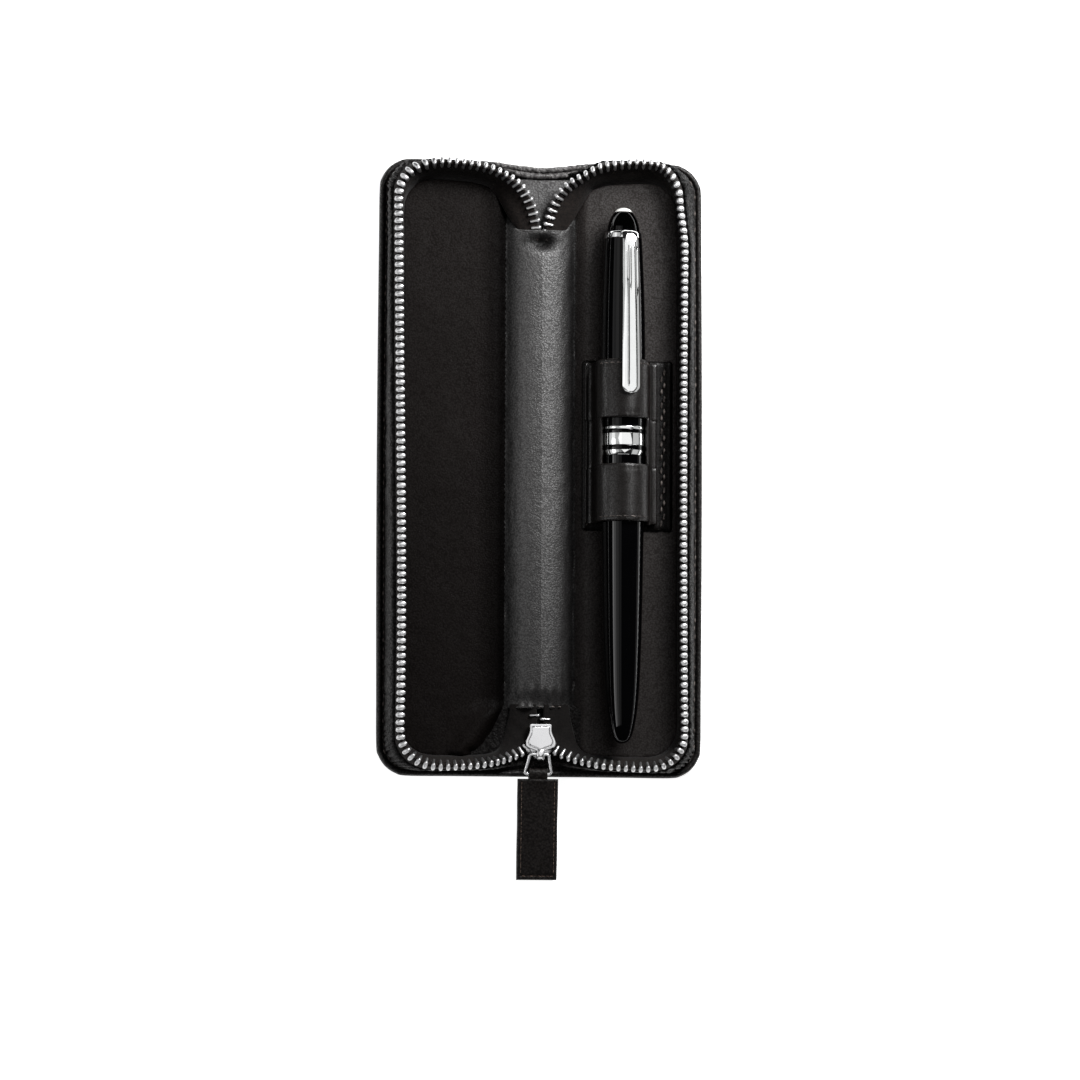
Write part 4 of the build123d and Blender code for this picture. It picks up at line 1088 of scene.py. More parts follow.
# (x, y) of the panel's free edge at the pull end; the left corner is cut back and curls
RIGHT_CORNER = ((7.9, -64.6), (7.7, LINING_Y0))
LEFT_CORNER = ((24.6, -76.8), (21.0, -76.65), (18.0, -75.9), (15.6, -74.3), (13.6, -71.8),
               (11.6, -68.8), (9.8, -66.0), (8.6, -64.4), (7.6, LINING_Y0))


def lining_outline(side):
    foot = spline(FOOT_RAIL, np.linspace(1.0, LAST - 1.0, 620))[:, :2]
    x, y = foot[:, 0], foot[:, 1]
    if side > 0:
        kept = (x > 8.0) | (y > 0)
        corner = RIGHT_CORNER
    else:
        kept = (y > -60) | (x > 25.0)
        corner = smooth_line(LEFT_CORNER, 60)
    cap_end = [(0, LINING_Y1), (1.2, LINING_Y1), (2.5, 63.06), (4.2, 63.2), (5.4, 63.3)]
    pull_end = [(5.5, -63.95), (3.0, LINING_Y0), (1.2, LINING_Y0), (0, LINING_Y0)]
    seam = np.c_[np.zeros(178), np.linspace(LINING_Y0, LINING_Y1, 180)[1:-1]]
    return np.vstack([cap_end, foot[kept & (x > 6.4)], corner, pull_end, seam])


def spine_hump(x, y):
    """The spine's rounded top, sunk towards both ends and dented near the cap end."""
    crown = 5.1 + 0.10 * fractal(3.0, y / 24.0, 51) + 0.08 * fractal(x / 5.0 + 40, y / 9.0, 52)
    hump = (crown - CREASE_Z) * (1 - np.clip(x / 8.9, 0, 1) ** 2.35) ** 0.95
    sunk = (0.55 + 0.45 * ease(-63.9, -58.5, y)) * (0.88 + 0.12 * ease(63.2, 57.0, y))
    return CREASE_Z + hump * sunk - 1.5 * np.exp(-(x / 3.4) ** 2 - ((y - 59.9) / 1.9) ** 2)


def corner_lift(x, y):
    """The left panel's free corner stands up off the tape and rolls over."""
    edge_x = np.interp(y, [-76.8, -75.9, -74.3, -71.8, -68.8, -66.0, -64.4, -63.0],
                       [24.6, 18.0, 15.6, 13.6, 11.6, 9.8, 8.6, 7.6])
    distance = np.abs((x - edge_x) * 0.8)
    zone = ease(-58.0, -68.0, y) * ease(26.0, 20.0, x)
    lift = 2.1 * bell(distance, 3.6, 3.4) * zone * ease(-61.0, -66.0, y)
    return lift - 1.3 * ease(2.2, 0.0, distance) * zone * ease(-63.0, -66.0, y)


def lining_top(x, y, side):
    """Height of the lining at x >= 0."""
    panel = PANEL_Z - (PANEL_Z - CREASE_Z) * ease(12.8, 9.0, x) ** 1.2
    beyond = ease(8.3, 9.6, x)
    z = spine_hump(x, y) * (1 - beyond) + panel * beyond
    # creases beside the hump
    inner = ease(-63.9, -58.5, y) * ease(61.6, 55.5, y)
    crease = noise(x / 0.9 + 0.8 * noise(y / 5.0, 0, 61), y / 2.2, 62)
    z = z + bell(x, 9.0, 1.5) * 0.20 * crease * (inner * 0.8 + 0.2)
    # soft wrinkles up the sides of the hump
    z = z + bell(x, 6.6, 1.7) * 0.13 * noise(x / 0.9, y / 3.0 + 50 * side, 63)
    z = z + 0.05 * fractal(x / 1.6, y / 1.9 + 11, 66)
    # gathers at the pull end
    gathers = np.sin(x * 2.55 + 1.3 * noise(x / 2.0, y / 3.0, 64) + 0.6)
    gathers = gathers * (0.6 + 0.4 * noise(x / 1.7, y / 2.0 + 9, 65))
    z = z + ease(-55.5, -63.0, y) * ease(9.0, 7.5, x) * 0.56 * gathers
    # broad unevenness of the panels
    z = z + beyond * (0.16 * fractal(x / 13.0 + 7 * side, y / 19.0, 71)
                      + 0.05 * fractal(x / 4.0, y / 5.0 + 20 * side, 72))
    if side < 0:
        return z + corner_lift(x, y)
    # a shallow roll along the wall
    return z - 0.12 * ease(33.0, 36.5, x)


def lining_points():
    """Inner points in staggered rows, closer together on the spine."""
    xs = np.r_[np.arange(0.7, 12.5, 0.55), np.arange(12.9, 36.9, 0.8)]
    return np.vstack([np.c_[xs + (0.27 if j % 2 else 0.0), np.full(len(xs), y)]
                      for j, y in enumerate(np.arange(-76.4, 76.6, 0.72))])


def mirror(mesh):
    places = np.empty(len(mesh.vertices) * 3)
    mesh.vertices.foreach_get("co", places)
    places[0::3] *= -1
    mesh.vertices.foreach_set("co", places)
    mesh.flip_normals()
    mesh.update()


def skin_spine(mesh):
    """Gives the faces over the spine its own leather."""
    mesh.materials.append(SPINE)
    centres = np.empty(len(mesh.polygons) * 3)
    mesh.polygons.foreach_get("center", centres)
    on_spine = np.abs(centres[0::3] / MM) < SPINE_SKIN_X
    mesh.polygons.foreach_set("material_index", on_spine.astype(int).tolist())


for side, tag in SIDES.items():
    ob = sheet(f"{tag}_lining_leather", lining_outline(side), lining_points(), 0.4,
               lambda x, y: lining_top(x, y, side),
               lambda x, y: lining_top(x, y, side) - LINING_THICKNESS,
               LINING if side > 0 else SHADED_LEFT_LINING)
    if side < 0:
        mirror(ob.data)
    skin_spine(ob.data)
    bend(ob)
    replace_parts(ob, f"{tag}_lining")
    if side == 1:
        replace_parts(ob, "spine_lining")

# ------------------------------------------------------------------ both ends of the spine
# Leather flat under each zip end: outer y, rise away from the spine, x and y of the inner edge, and
# its material, with a painted sheen at the cap end and a painted shadow at the pull end
END_FLATS = {
    "cap": (77.15, -0.25, [0, 1.6, 3.15, 4.3, 5.95, 7.75, 9.5, 11.85, 12.6],
            [58.0, 60.0, 62.6, 65.2, 68.7, 71.9, 74.1, 75.9, 76.1], CAP_FLAT_SHEEN),
    "pull": (-78.4, 0.12, [0, 1.6, 3.2, 4.8, 6.4, 8.0, 10.0, 13.0, 18.5],
             [-60.5, -60.5, -60.5, -60.5, -61.0, -62.5, -63.6, -65.8, -70.0], PULL_FLAT_SHADOW),
}
END_FLAT_BASE = 1.3


def end_flat(name, side, outer_y, rise, edge_x, edge_y, mat):
    xs = np.linspace(0, edge_x[-1], 40)
    inner_y = np.interp(xs, edge_x, edge_y)[:, None]
    x = np.repeat(xs[:, None], 40, 1)
    y = inner_y + (outer_y - inner_y) * np.linspace(0, 1, 40)[None]
    swell = np.sin(np.clip((np.abs(y) - 62) / 16.0, 0, 1) * math.pi) * ease(10, 3, x)
    z = 1.9 + rise * ease(6.0, 12.0, x) + 0.28 * swell
    z = z + 0.10 * fractal(x / 3.0 * side + 9, y / 3.0, 81)
    top = np.stack([x, y, z], 2)
    bottom = np.stack([x, y, np.full_like(z, END_FLAT_BASE)], 2)
    return sharpen_seam(make(name, *shell(to_side(top, side), to_side(bottom, side)), mat))


for side, tag in SIDES.items():
    for end, shape in END_FLATS.items():
        bend(end_flat(f"{tag}_end_flat_{end}", side, *shape))


def hem_band(side, distance, half, z, seed):
    """A wrinkled roll of leather across the cap end, as sections."""
    x = np.linspace(0, 12.4, 150)
    path = np.c_[x, np.interp(x, END_X, CAP_END_Y) - distance, np.full_like(x, z)]
    rows = []
    for a in turn(18):
        wrinkle = 0.15 * noise(x / 0.75 + 31 * side, 1.1 * math.cos(a) + seed, seed)
        wrinkle = wrinkle + 0.08 * noise(x / 1.9, math.sin(a) * 1.3 + seed, seed + 1)
        rows.append(path + np.c_[np.zeros_like(x), (half + wrinkle * 0.6) * math.cos(a),
                                 (0.6 + wrinkle) * math.sin(a)])
    return np.stack(rows, 1)


for side, tag in SIDES.items():
    for i, (distance, half, z) in enumerate(((0.80, 0.72, 2.35), (2.40, 0.80, 2.3))):
        sections = to_side(hem_band(side, distance, half, z, 140 + 5 * i), side)
        bend(swept(f"{tag}_hem_band_{i}", sections, HEM_SHEEN))


def chain_stop(name, y0, y1, half, z0, z1, replaced):
    ys = (y0, y0 + 0.12, y0 + 0.35, y1 - 0.35, y1 - 0.12, y1)
    rings = []
    for y, scale in zip(ys, (0.55, 0.85, 1.0, 1.0, 0.85, 0.55)):
        x, z = soft_box(half * scale, (z1 - z0) / 2 * scale, 0.6)
        rings.append(np.c_[x, np.full(len(x), y), (z0 + z1) / 2 + z])
    attach(swept(name, rings, TEETH), "spine", replaced)


chain_stop("chain_stop_cap", y0=61.3, y1=62.4, half=1.3, z0=1.95, z1=2.75, replaced="top_stop")
chain_stop("chain_stop_pull", y0=-63.8, y1=-63.1, half=1.2, z0=1.9, z1=2.5,
           replaced="bottom_stop")


def spine_hem_path(x, y, wobble, seed, lining_y, drop):
    """A line across the spine, a little below the lining's height at lining_y."""
    return np.c_[x, y + wobble * fractal(x / 1.5, 0, seed),
                 lining_top(np.abs(x), lining_y, 1) - drop]


# hems of the spine's lining over the zip's ends
x = np.linspace(-8.0, 8.0, 90)
path = spine_hem_path(x, y=-63.75, wobble=0.10, seed=91, lining_y=-63.4, drop=0.35)
attach(tube("spine_hem_pull", path, 0.42 + 0.05 * noise(x / 1.1, 0, 92), SPINE), "spine")
attach(stitch_row("spine_hem_stitches", path[6:-6] + np.array([0, 0.15, 0.42]), THREAD,
                  pitch=2.3, length=1.5, radius=0.16), "spine")
path = spine_hem_path(np.linspace(-5.0, 5.0, 60), y=63.02, wobble=0.08, seed=93,
                      lining_y=62.7, drop=0.32)
attach(tube("spine_hem_cap", path, 0.38, SPINE), "spine")

# ------------------------------------------------------------------ slider
# Right halves of the outlines, (x, y)
SHIELD_HALF = (
    (0.0, -68.3), (1.5, -68.3), (2.5, -68.3), (2.83, -68.55), (2.86, -69.4), (2.9, -70.25),
    (3.15, -71.1), (3.62, -72.1), (3.93, -73.0), (3.9, -73.85), (3.5, -74.45), (2.6, -74.85),
    (1.5, -75.25), (0.7, -75.6), (0.0, -75.75),
)
JAW_HALF = (
    (0.0, -68.2), (1.8, -68.2), (2.8, -68.25), (2.95, -68.6), (2.95, -70.2), (3.3, -71.3),
    (3.9, -72.4), (4.15, -73.6), (3.95, -74.7), (2.9, -75.7), (1.7, -76.6), (0.8, -77.3),
    (0.0, -77.45),
)
WEDGE_HALF = ((0.0, -72.2), (0.75, -74.0), (0.8, -75.2), (0.5, -75.9), (0.0, -76.1))
# Layers from the bottom up: how far the outline grows, height
SHIELD_LAYERS = (
    (-0.25, 4.62), (-0.04, 4.66), (0.0, 4.76), (0.0, 5.42), (-0.06, 5.54), (-0.18, 5.58),
    (-0.40, 5.58), (-0.46, 5.52), (-0.54, 5.52), (-0.62, 5.66), (-0.70, 5.78), (-0.80, 5.86),
    (-0.92, 5.90), (-1.08, 5.92),
)
JAW_LAYERS = ((-0.2, 1.35), (-0.03, 1.42), (0.0, 1.6), (0.0, 2.05), (-0.05, 2.18), (-0.2, 2.24))
WEDGE_LAYERS = ((0, 2.1), (0, 4.75))
# (x, y) of the right flange's outer line, and (y, z) of the tongue's line
FLANGE_LINE = ((2.8, -68.4), (2.82, -70.0), (3.1, -71.1), (3.7, -72.5), (3.86, -73.5),
               (3.5, -74.3))
FLANGE_THICKNESS = 0.62
TONGUE_LINE = ((-74.9, 5.2), (-75.4, 5.45), (-76.1, 5.6), (-76.9, 5.5), (-77.5, 5.1),
               (-77.6, 4.5), (-77.3, 3.95), (-76.5, 3.7), (-75.6, 3.85), (-74.9, 4.3))
# Corners of the tongue's section: share of the half width, distance off the line
TONGUE_SECTION = ((-1, -0.18), (-1, 0.1), (-0.8, 0.26), (0.8, 0.26), (1, 0.1), (1, -0.18))


def both_halves(half, count):
    line = smooth_line(half, count)
    return np.vstack([line, (line * [-1, 1])[::-1][1:-1]])


def plate(name, outline, layers, centre_y, grow, angle):
    """A slider plate; grow(outline, amount) gives the outline of each layer."""
    rings = [np.c_[grow(outline, amount), np.full(len(outline), z)] for amount, z in layers]
    centres = [(0, centre_y, layers[0][1]), (0, centre_y, layers[-1][1])]
    return sharpen(make(name, *capped(rings, centres), SLIDER), angle)


def scale_shield(outline, amount):
    middle = np.array([0.0, -72.1])
    return middle + (outline - middle) * (1 + amount / np.array([3.5, 3.6]))


def grow_from(y):
    """Moves an outline away from the point (0, y)."""
    return lambda outline, amount: outline + unit(outline - np.array([0, y])) * amount


ob = plate("slider_plate", both_halves(SHIELD_HALF, 100), SHIELD_LAYERS, -72.2, scale_shield, 38)
flat_caps(ob)
attach(ob, "zip_slider", "slider_shield")
ob = plate("slider_back_plate", both_halves(JAW_HALF, 70), JAW_LAYERS, -72.4,
           grow_from(-72.4), 45)
attach(ob, "zip_slider", "slider_body")


def flange(name, side, z0, z1):
    """A lip along one side of a plate."""
    outer = smooth_line(FLANGE_LINE, 40)
    tangent = tangents(outer)
    normal = np.c_[tangent[:, 1], -tangent[:, 0]]
    inner = outer + normal * FLANGE_THICKNESS * np.sign(-normal[:, 0:1])
    corners = ((outer, z0), (outer, z1), (inner, z1), (inner, z0))
    sections = np.stack([np.c_[line, np.full(40, z)] for line, z in corners], 1)
    return sharpen(swept(name, to_side(sections, side), SLIDER), 40)


# a lip up from the back plate and one down from the top plate, with a slit between them
for side, letter in ((1, "r"), (-1, "l")):
    for level, z0, z1 in (("low", 2.1, 2.85), ("high", 3.95, 4.75)):
        attach(flange(f"slider_flange_{level}_{letter}", side, z0, z1), "zip_slider")

ob = plate("slider_wedge", both_halves(WEDGE_HALF, 24), WEDGE_LAYERS, -74.4,
           grow_from(-74.4), 45)
attach(ob, "zip_slider")


def tongue():
    """The folded strip that holds the link."""
    line = smooth_line(TONGUE_LINE, 60)
    tangent = tangents(line)
    half_width = 0.95 + 0.1 * ease(-75.6, -74.6, line[:, 0])
    sections = [np.c_[share * half_width, line[:, 0] + tangent[:, 1] * off,
                      line[:, 1] - tangent[:, 0] * off] for share, off in TONGUE_SECTION]
    return sharpen(swept("slider_tongue", np.stack(sections, 1), SLIDER), 45)


attach(tongue(), "zip_slider")

# ------------------------------------------------------------------ wire link
# Its bar through the slider and the bar that carries the tab, which hangs a little to the left
LINK_TOP_Y, LINK_TOP_Z, LINK_TOP_HALF = -76.2, 4.7, 2.45
BAR_Y, BAR_Z, BAR_HALF = -81.4, 3.9, 3.6
HANG = -0.55


def rounded_loop(corners, radius):
    """A closed line with its corners rounded."""
    points = np.array(corners, float)
    line = []
    for p, before, after in zip(points, np.roll(points, 1, 0), np.roll(points, -1, 0)):
        back, ahead = unit(before - p), unit(after - p)
        angle = math.acos(np.clip(np.dot(back, ahead), -1, 1))
        cut = radius / math.tan(angle / 2)
        start, end = p + back * cut, p + ahead * cut
        for f in np.arange(11) / 10:
            line.append((1 - f) ** 2 * start + 2 * f * (1 - f) * p + f * f * end)
    return np.array(line)


link_corners = [(0.5 * HANG - LINK_TOP_HALF, LINK_TOP_Y, LINK_TOP_Z),
                (0.5 * HANG + LINK_TOP_HALF, LINK_TOP_Y, LINK_TOP_Z),
                (HANG + BAR_HALF, BAR_Y, BAR_Z), (HANG - BAR_HALF, BAR_Y, BAR_Z)]
attach(tube("wire_link", rounded_loop(link_corners, 0.9), 0.46, SLIDER, 14, closed=True),
       "link", "pull_link")

# ------------------------------------------------------------------ leather pull
TAB_SLOPE = math.radians(5.1)
TAB_HALF, TAB_START, TAB_LENGTH = 5.35, 1.35, 26.65
TAB_SEAM = 0.98       # the stitched line's distance from the edge
TAB_EDGE_Z = 0.55     # half thickness at the rim
STRAP_RADIUS = 1.36


def tab_point(x, distance, height):
    """x across, distance along the tab from the link's bar, height off its mid-plane."""
    return np.stack(np.broadcast_arrays(
        x + HANG, BAR_Y - distance * math.cos(TAB_SLOPE),
        BAR_Z - distance * math.sin(TAB_SLOPE) + height), -1)


def strap_sections():
    """The strap folded round the bar: a half round and two tapering legs, swept across x."""
    angle = np.radians(np.linspace(-90, 90, 19))
    leg = np.array([(0.6, STRAP_RADIUS), (1.1, 1.28), (1.7, 1.12), (2.4, 1.0)])
    loop = np.vstack([np.c_[-STRAP_RADIUS * np.cos(angle), STRAP_RADIUS * np.sin(angle)],
                      leg, leg[::-1] * [1, -1]])
    distance, height = loop[:, 0], loop[:, 1]
    sections = []
    for x, swell in zip((-2.45, -2.38, -2.2, -1.5, 0, 1.5, 2.2, 2.38, 2.45),
                        (-0.16, -0.04, 0.0, 0.02, 0.04, 0.02, 0.0, -0.04, -0.16)):
        scale = 1 + swell / 1.3
        sections.append(tab_point(x, np.where(distance < 0, distance * scale, distance),
                                  height * scale))
    return sections


def tab_body():
    """Two layers sewn together, with a groove at the seam and a swelling over the strap."""
    rows = np.r_[np.linspace(0, 1.2, 9), np.linspace(1.5, 25.3, 60),
                 np.linspace(25.5, TAB_LENGTH, 9)]
    across, along = np.meshgrid(np.linspace(-1, 1, 41), rows)
    x = across * TAB_HALF * (1 + 0.006 * np.sin(along * 0.4))
    from_side = (1 - np.abs(across)) * TAB_HALF
    from_end = np.minimum(along, TAB_LENGTH - along)
    from_rim = np.minimum(from_side, from_end)
    rounding = 1 - (1 - np.minimum(from_rim / 0.5, 1)) ** 2
    groove = 0.12 * (bell(from_side, TAB_SEAM, 0.17) * (from_end > 0.9)
                     + bell(TAB_LENGTH - along, TAB_SEAM, 0.17) * (from_side > 0.9))
    strap = 0.30 * bell(along, 0, 2.3) * ease(3.4, 2.0, np.abs(x))
    top = (TAB_EDGE_Z + 0.5 * rounding - groove + strap
           + 0.035 * fractal(x / 2.5, along / 3.0, 101)
           + 0.06 * np.sin(from_side / TAB_HALF * math.pi / 2))
    bottom = -(TAB_EDGE_Z + 0.5 * (top - TAB_EDGE_Z) / TAB_EDGE_Z * 0.9)
    return shell(tab_point(x, TAB_START + along, top),
                 tab_point(x, TAB_START + along, np.clip(bottom, -1.1, -0.5)))


attach(swept("pull_strap", strap_sections(), TAB), "tab", "pull_tab")
attach(make("pull_tab_leather", *tab_body(), TAB), "tab")

seam_x = TAB_HALF - TAB_SEAM
seam_along = TAB_START + np.linspace(0.6, 25.6, 120)
tab_lines = (tab_point(-seam_x, seam_along, 1.04), tab_point(seam_x, seam_along, 1.04),
             tab_point(np.linspace(-4.3, 4.3, 50), TAB_START + TAB_LENGTH - TAB_SEAM, 1.03))
for i, line in enumerate(tab_lines):
    ob = stitch_row(f"pull_stitches_{i}", line, TAB_THREAD, pitch=1.05, length=0.92,
                    radius=0.085)
    attach(ob, "tab", None if i else "tab_thread")

# ------------------------------------------------------------------ pen loop
BACK_X0, BACK_X1, BACK_Y0, BACK_Y1 = 11.3, 35.1, -16.4, 28.6
BACK_BASE = 2.35
SEAM_LEFT, SEAM_RIGHT = 1.3, 2.5      # distances of the seams from the backing's edges
LOOP_Y0, LOOP_Y1 = -15.0, 28.0        # the loop's ends
WINDOW_Y0, WINDOW_Y1 = 0.2, 12.4      # the opening over the pen
LOOP_RADIUS = 7.2
LOOP_SEAM = 1.15                      # distance of the stitches from the loop's ends


def rounded_rect(x0, x1, y0, y1, radius, step):
    """A rectangle with rounded corners, its long edges cut into steps."""
    corners = ((x1 - radius, y0 + radius, -90), (x1 - radius, y1 - radius, 0),
               (x0 + radius, y1 - radius, 90), (x0 + radius, y0 + radius, 180))
    points = []
    for centre_x, centre_y, start in corners:
        for k in range(7):
            a = math.radians(start + 90 * k / 6)
            points.append((centre_x + radius * math.cos(a), centre_y + radius * math.sin(a)))
    points = np.array(points)
    line = []
    for a, b in zip(points, np.roll(points, -1, 0)):
        pieces = max(1, int(np.linalg.norm(b - a) / step))
        line += [a + (b - a) * j / pieces for j in range(pieces)]
    return np.array(line)


def backing_top(x, y):
    left, right = x - BACK_X0, BACK_X1 - x
    z = 3.35 + 0.05 * fractal(x / 4.0, y / 6.0, 111)
    # rolled right edge, the sewn channel beside it and a low ridge
    z = z + 0.55 * bell(right, 0.75, 0.62) - 0.28 * bell(right, SEAM_RIGHT, 0.55)
    z = z + 0.18 * bell(right, 4.0, 0.7)
    # sewn channel by the left edge, and puckers on the right
    z = z - 0.16 * bell(left, SEAM_LEFT, 0.4)
    z = z + 0.06 * noise(x / 0.7, y / 1.4, 112) * bell(right, 2.2, 1.6)
    rim = np.minimum(np.minimum(left, right), np.minimum(y - BACK_Y0, BACK_Y1 - y))
    return z - 0.25 * (1 - np.clip(rim / 0.5, 0, 1)) ** 2


grid_x, grid_y = np.meshgrid(np.arange(BACK_X0 + 0.3, BACK_X1, 0.55),
                             np.arange(BACK_Y0 + 0.3, BACK_Y1, 0.7))
ob = sheet("loop_backing_leather",
           rounded_rect(BACK_X0, BACK_X1, BACK_Y0, BACK_Y1, radius=0.9, step=0.8),
           np.c_[grid_x.ravel(), grid_y.ravel()], 0.35,
           backing_top, lambda x, y: np.full_like(x, BACK_BASE), BACKING)
attach(ob, "right_half", "loop_backing")


def band_profile():
    """The loop's outer section from its left foot to its right, (x, z) about the pen's axis."""
    angle = np.radians(np.linspace(180, 0, 15))
    left_foot = np.array([(-9.1, 3.55), (-8.3, 4.05), (-7.65, 4.6), (-7.32, 5.6), (-7.2, 7.2)])
    right_foot = np.array([(7.2, 7.2), (7.32, 5.6), (7.7, 4.6), (8.4, 4.1), (9.6, 3.75)])
    points = np.vstack([left_foot - [0, PEN_Z],
                        np.c_[LOOP_RADIUS * np.cos(angle), LOOP_RADIUS * np.sin(angle)],
                        right_foot - [0, PEN_Z]])
    return smooth_line(points, 90)


def band_mesh(y0, y1, profile, thickness, sewn):
    """A leather band over the profile with rounded edges, dimpled along its ends if sewn."""
    tangent = tangents(profile)
    normal = np.c_[-tangent[:, 1], tangent[:, 0]]
    normal = normal * np.sign((normal * profile).sum(1, keepdims=True) + 1e-9)
    y = np.r_[y0, y0 + 0.12, y0 + 0.4, np.linspace(y0 + 1.0, y1 - 1.0, int((y1 - y0) / 0.7)),
              y1 - 0.4, y1 - 0.12, y1][:, None]
    arc = arc_length(profile)
    from_end = np.minimum(y - y0, y1 - y)
    rounding = thickness * 0.38 * (1 - np.minimum(from_end / 0.4, 1)) ** 2
    dimple = 0.0
    if sewn:
        dimple = 0.13 * (bell(y - y0, LOOP_SEAM, 0.4) + bell(y1 - y, LOOP_SEAM, 0.4))
    wobble = 0.05 * fractal(arc / 2.6, y / 4.0, 121)
    ripple = 0.05 * np.sin(arc * 3.3) * np.exp(-((from_end - 0.9) / 0.8) ** 2)

    def surface(offset):
        moved = profile + normal * offset[..., None]
        return np.stack(np.broadcast_arrays(moved[..., 0] + PEN_X, y, moved[..., 1] + PEN_Z), -1)

    return shell(surface(wobble - rounding - dimple + ripple),
                 surface(rounding * 0.9 - thickness))


# two bands, and the sides that carry on past the window a little inside the bands
profile = band_profile()
low = profile[:, 1] < 3.4
left, right = (profile[low & (profile[:, 0] * sign > 0)] * [0.985, 1] for sign in (-1, 1))
window = (WINDOW_Y0 - 0.5, WINDOW_Y1 + 0.5)
for name, (y0, y1), line, thickness, sewn, replaced in (
        ("loop_band_cap", (WINDOW_Y1, LOOP_Y1), profile, 0.95, True, "pen_loop"),
        ("loop_band_barrel", (LOOP_Y0, WINDOW_Y0), profile, 0.95, True, None),
        ("loop_side_left", window, left, 0.8, False, None),
        ("loop_side_right", window, right, 0.8, False, None)):
    ob = make(name, *band_mesh(y0, y1, line, thickness, sewn), LOOP)
    attach(ob, "right_half", replaced)

angle = np.radians(np.linspace(160, 20, 160))
stitch_radius = LOOP_RADIUS - 0.12
for end, y in (("cap", LOOP_Y1 - LOOP_SEAM), ("barrel", LOOP_Y0 + LOOP_SEAM)):
    path = np.c_[PEN_X + stitch_radius * np.cos(angle), np.full(160, y),
                 PEN_Z + stitch_radius * np.sin(angle)]
    attach(stitch_row(f"loop_edge_stitches_{end}", path, THREAD, pitch=1.9, length=1.45,
                      radius=0.15), "right_half")
for i, (x, z, radius, wave, replaced) in enumerate((
        (BACK_X0 + SEAM_LEFT, 3.36, 0.24, 0.18, "loop_thread"),
        (BACK_X1 - SEAM_RIGHT, 3.34, 0.30, 0.36, None))):
    path = np.c_[np.full(300, x), np.linspace(BACK_Y0 + 0.8, BACK_Y1 - 0.8, 300),
                 np.full(300, z)]
    ob = stitch_row(f"loop_seam_{i}", path, THREAD, pitch=1.75, length=1.6, radius=radius,
                    wave=wave)
    attach(ob, "right_half", replaced)


# ------------------------------------------------------------------ pen
def along_pen(y):
    return PEN_STRETCH * (y + PEN_Y) + PEN_SHIFT


def turned(name, profile, mat, angle, node, replaced, segments=128):
    """A solid turned about the pen's axis from a closed profile of (radius, y) points."""
    verts, faces, rings = [], [], []
    for radius, y in profile:
        y = along_pen(y)
        if radius < 1e-6:
            rings.append([len(verts)] * segments)
            verts.append((PEN_X, y, PEN_Z))
        else:
            rings.append(list(range(len(verts), len(verts) + segments)))
            verts += [(PEN_X + radius * math.sin(a), y, PEN_Z + radius * math.cos(a))
                      for a in turn(segments)]
    for near_ring, far_ring in zip(rings, rings[1:] + rings[:1]):
        for k in range(segments):
            q = (k + 1) % segments
            # points on the axis coincide, which leaves a triangle or nothing
            face = tuple(dict.fromkeys((near_ring[k], far_ring[k], far_ring[q], near_ring[q])))
            if len(face) > 2:
                faces.append(face)
    attach(sharpen(make(name, verts, outward(verts, faces), mat), angle), node, replaced)


def ring_profile(y0, y1, inner_radius, start_radius, end_radius, bulge):
    chamfer = 0.08
    face = [(start_radius + (end_radius - start_radius) * t + bulge * 4 * t * (1 - t),
             y0 + chamfer + (y1 - y0 - 2 * chamfer) * t) for t in np.linspace(0, 1, 12)]
    return [(inner_radius, y0), (start_radius - chamfer, y0), *face,
            (end_radius - chamfer, y1), (inner_radius, y1)]


# Outer lines: (radius, y)
CAP_LINE = ((5.93, 10.75), (5.95, 20.0), (5.94, 29.5), (5.86, 37.0), (5.7, 44.0), (5.48, 50.0),
            (5.24, 55.0), (4.98, 59.9))
DOME_LINE = ((4.4, 61.78), (4.32, 62.6), (4.15, 63.6), (3.82, 64.75), (3.32, 65.85),
             (2.72, 66.75), (2.34, 67.12))
INLAY_LINE = ((2.35, 67.12), (2.24, 67.32), (1.8, 67.76), (1.15, 68.1), (0.5, 68.25),
              (0.0, 68.29))
BARREL_LINE = (
    (5.72, 2.9), (5.7, -6.0), (5.62, -16.5), (5.44, -28.0), (5.2, -40.1), (4.95, -48.5),
    (4.63, -55.9), (4.18, -61.8), (3.5, -66.4), (2.75, -69.3), (1.9, -70.95), (1.0, -71.6),
    (0.4, -71.73), (0.0, -71.75),
)

turned("cap_shell", np.vstack([
    [(5.35, 10.6), (5.86, 10.6), (5.93, 10.67)], smooth_line(CAP_LINE, 70)[1:-1],
    [(4.96, 59.95), (4.9, 60.0), (2.0, 60.0), (2.0, 54.0), (4.3, 50.0), (5.15, 40.0),
     (5.15, 10.7), (5.35, 10.7)]]), RESIN, 30, "pen_cap", "cap_body")
turned("cap_dome", np.vstack([
    [(0, 58.0), (1.95, 58.0), (1.95, 61.72), (4.3, 61.72)], smooth_line(DOME_LINE, 40),
    [(1.9, 67.0), (0, 67.0)]]), RESIN, 30, "pen_cap", "cap_finial")
turned("dome_inlay", np.vstack([[(0, 66.6), (2.3, 66.6)], smooth_line(INLAY_LINE, 24)]),
       INLAY, 40, "pen_cap", "finial_inlay", segments=96)
turned("clip_band",
       [(2.05, 60.02), (4.93, 60.02), (5.02, 60.12), (5.0, 60.5), (4.92, 61.2), (4.84, 61.6),
        (4.74, 61.7), (2.05, 61.7)], CHROME, 35, "pen_cap", "clip_ring")
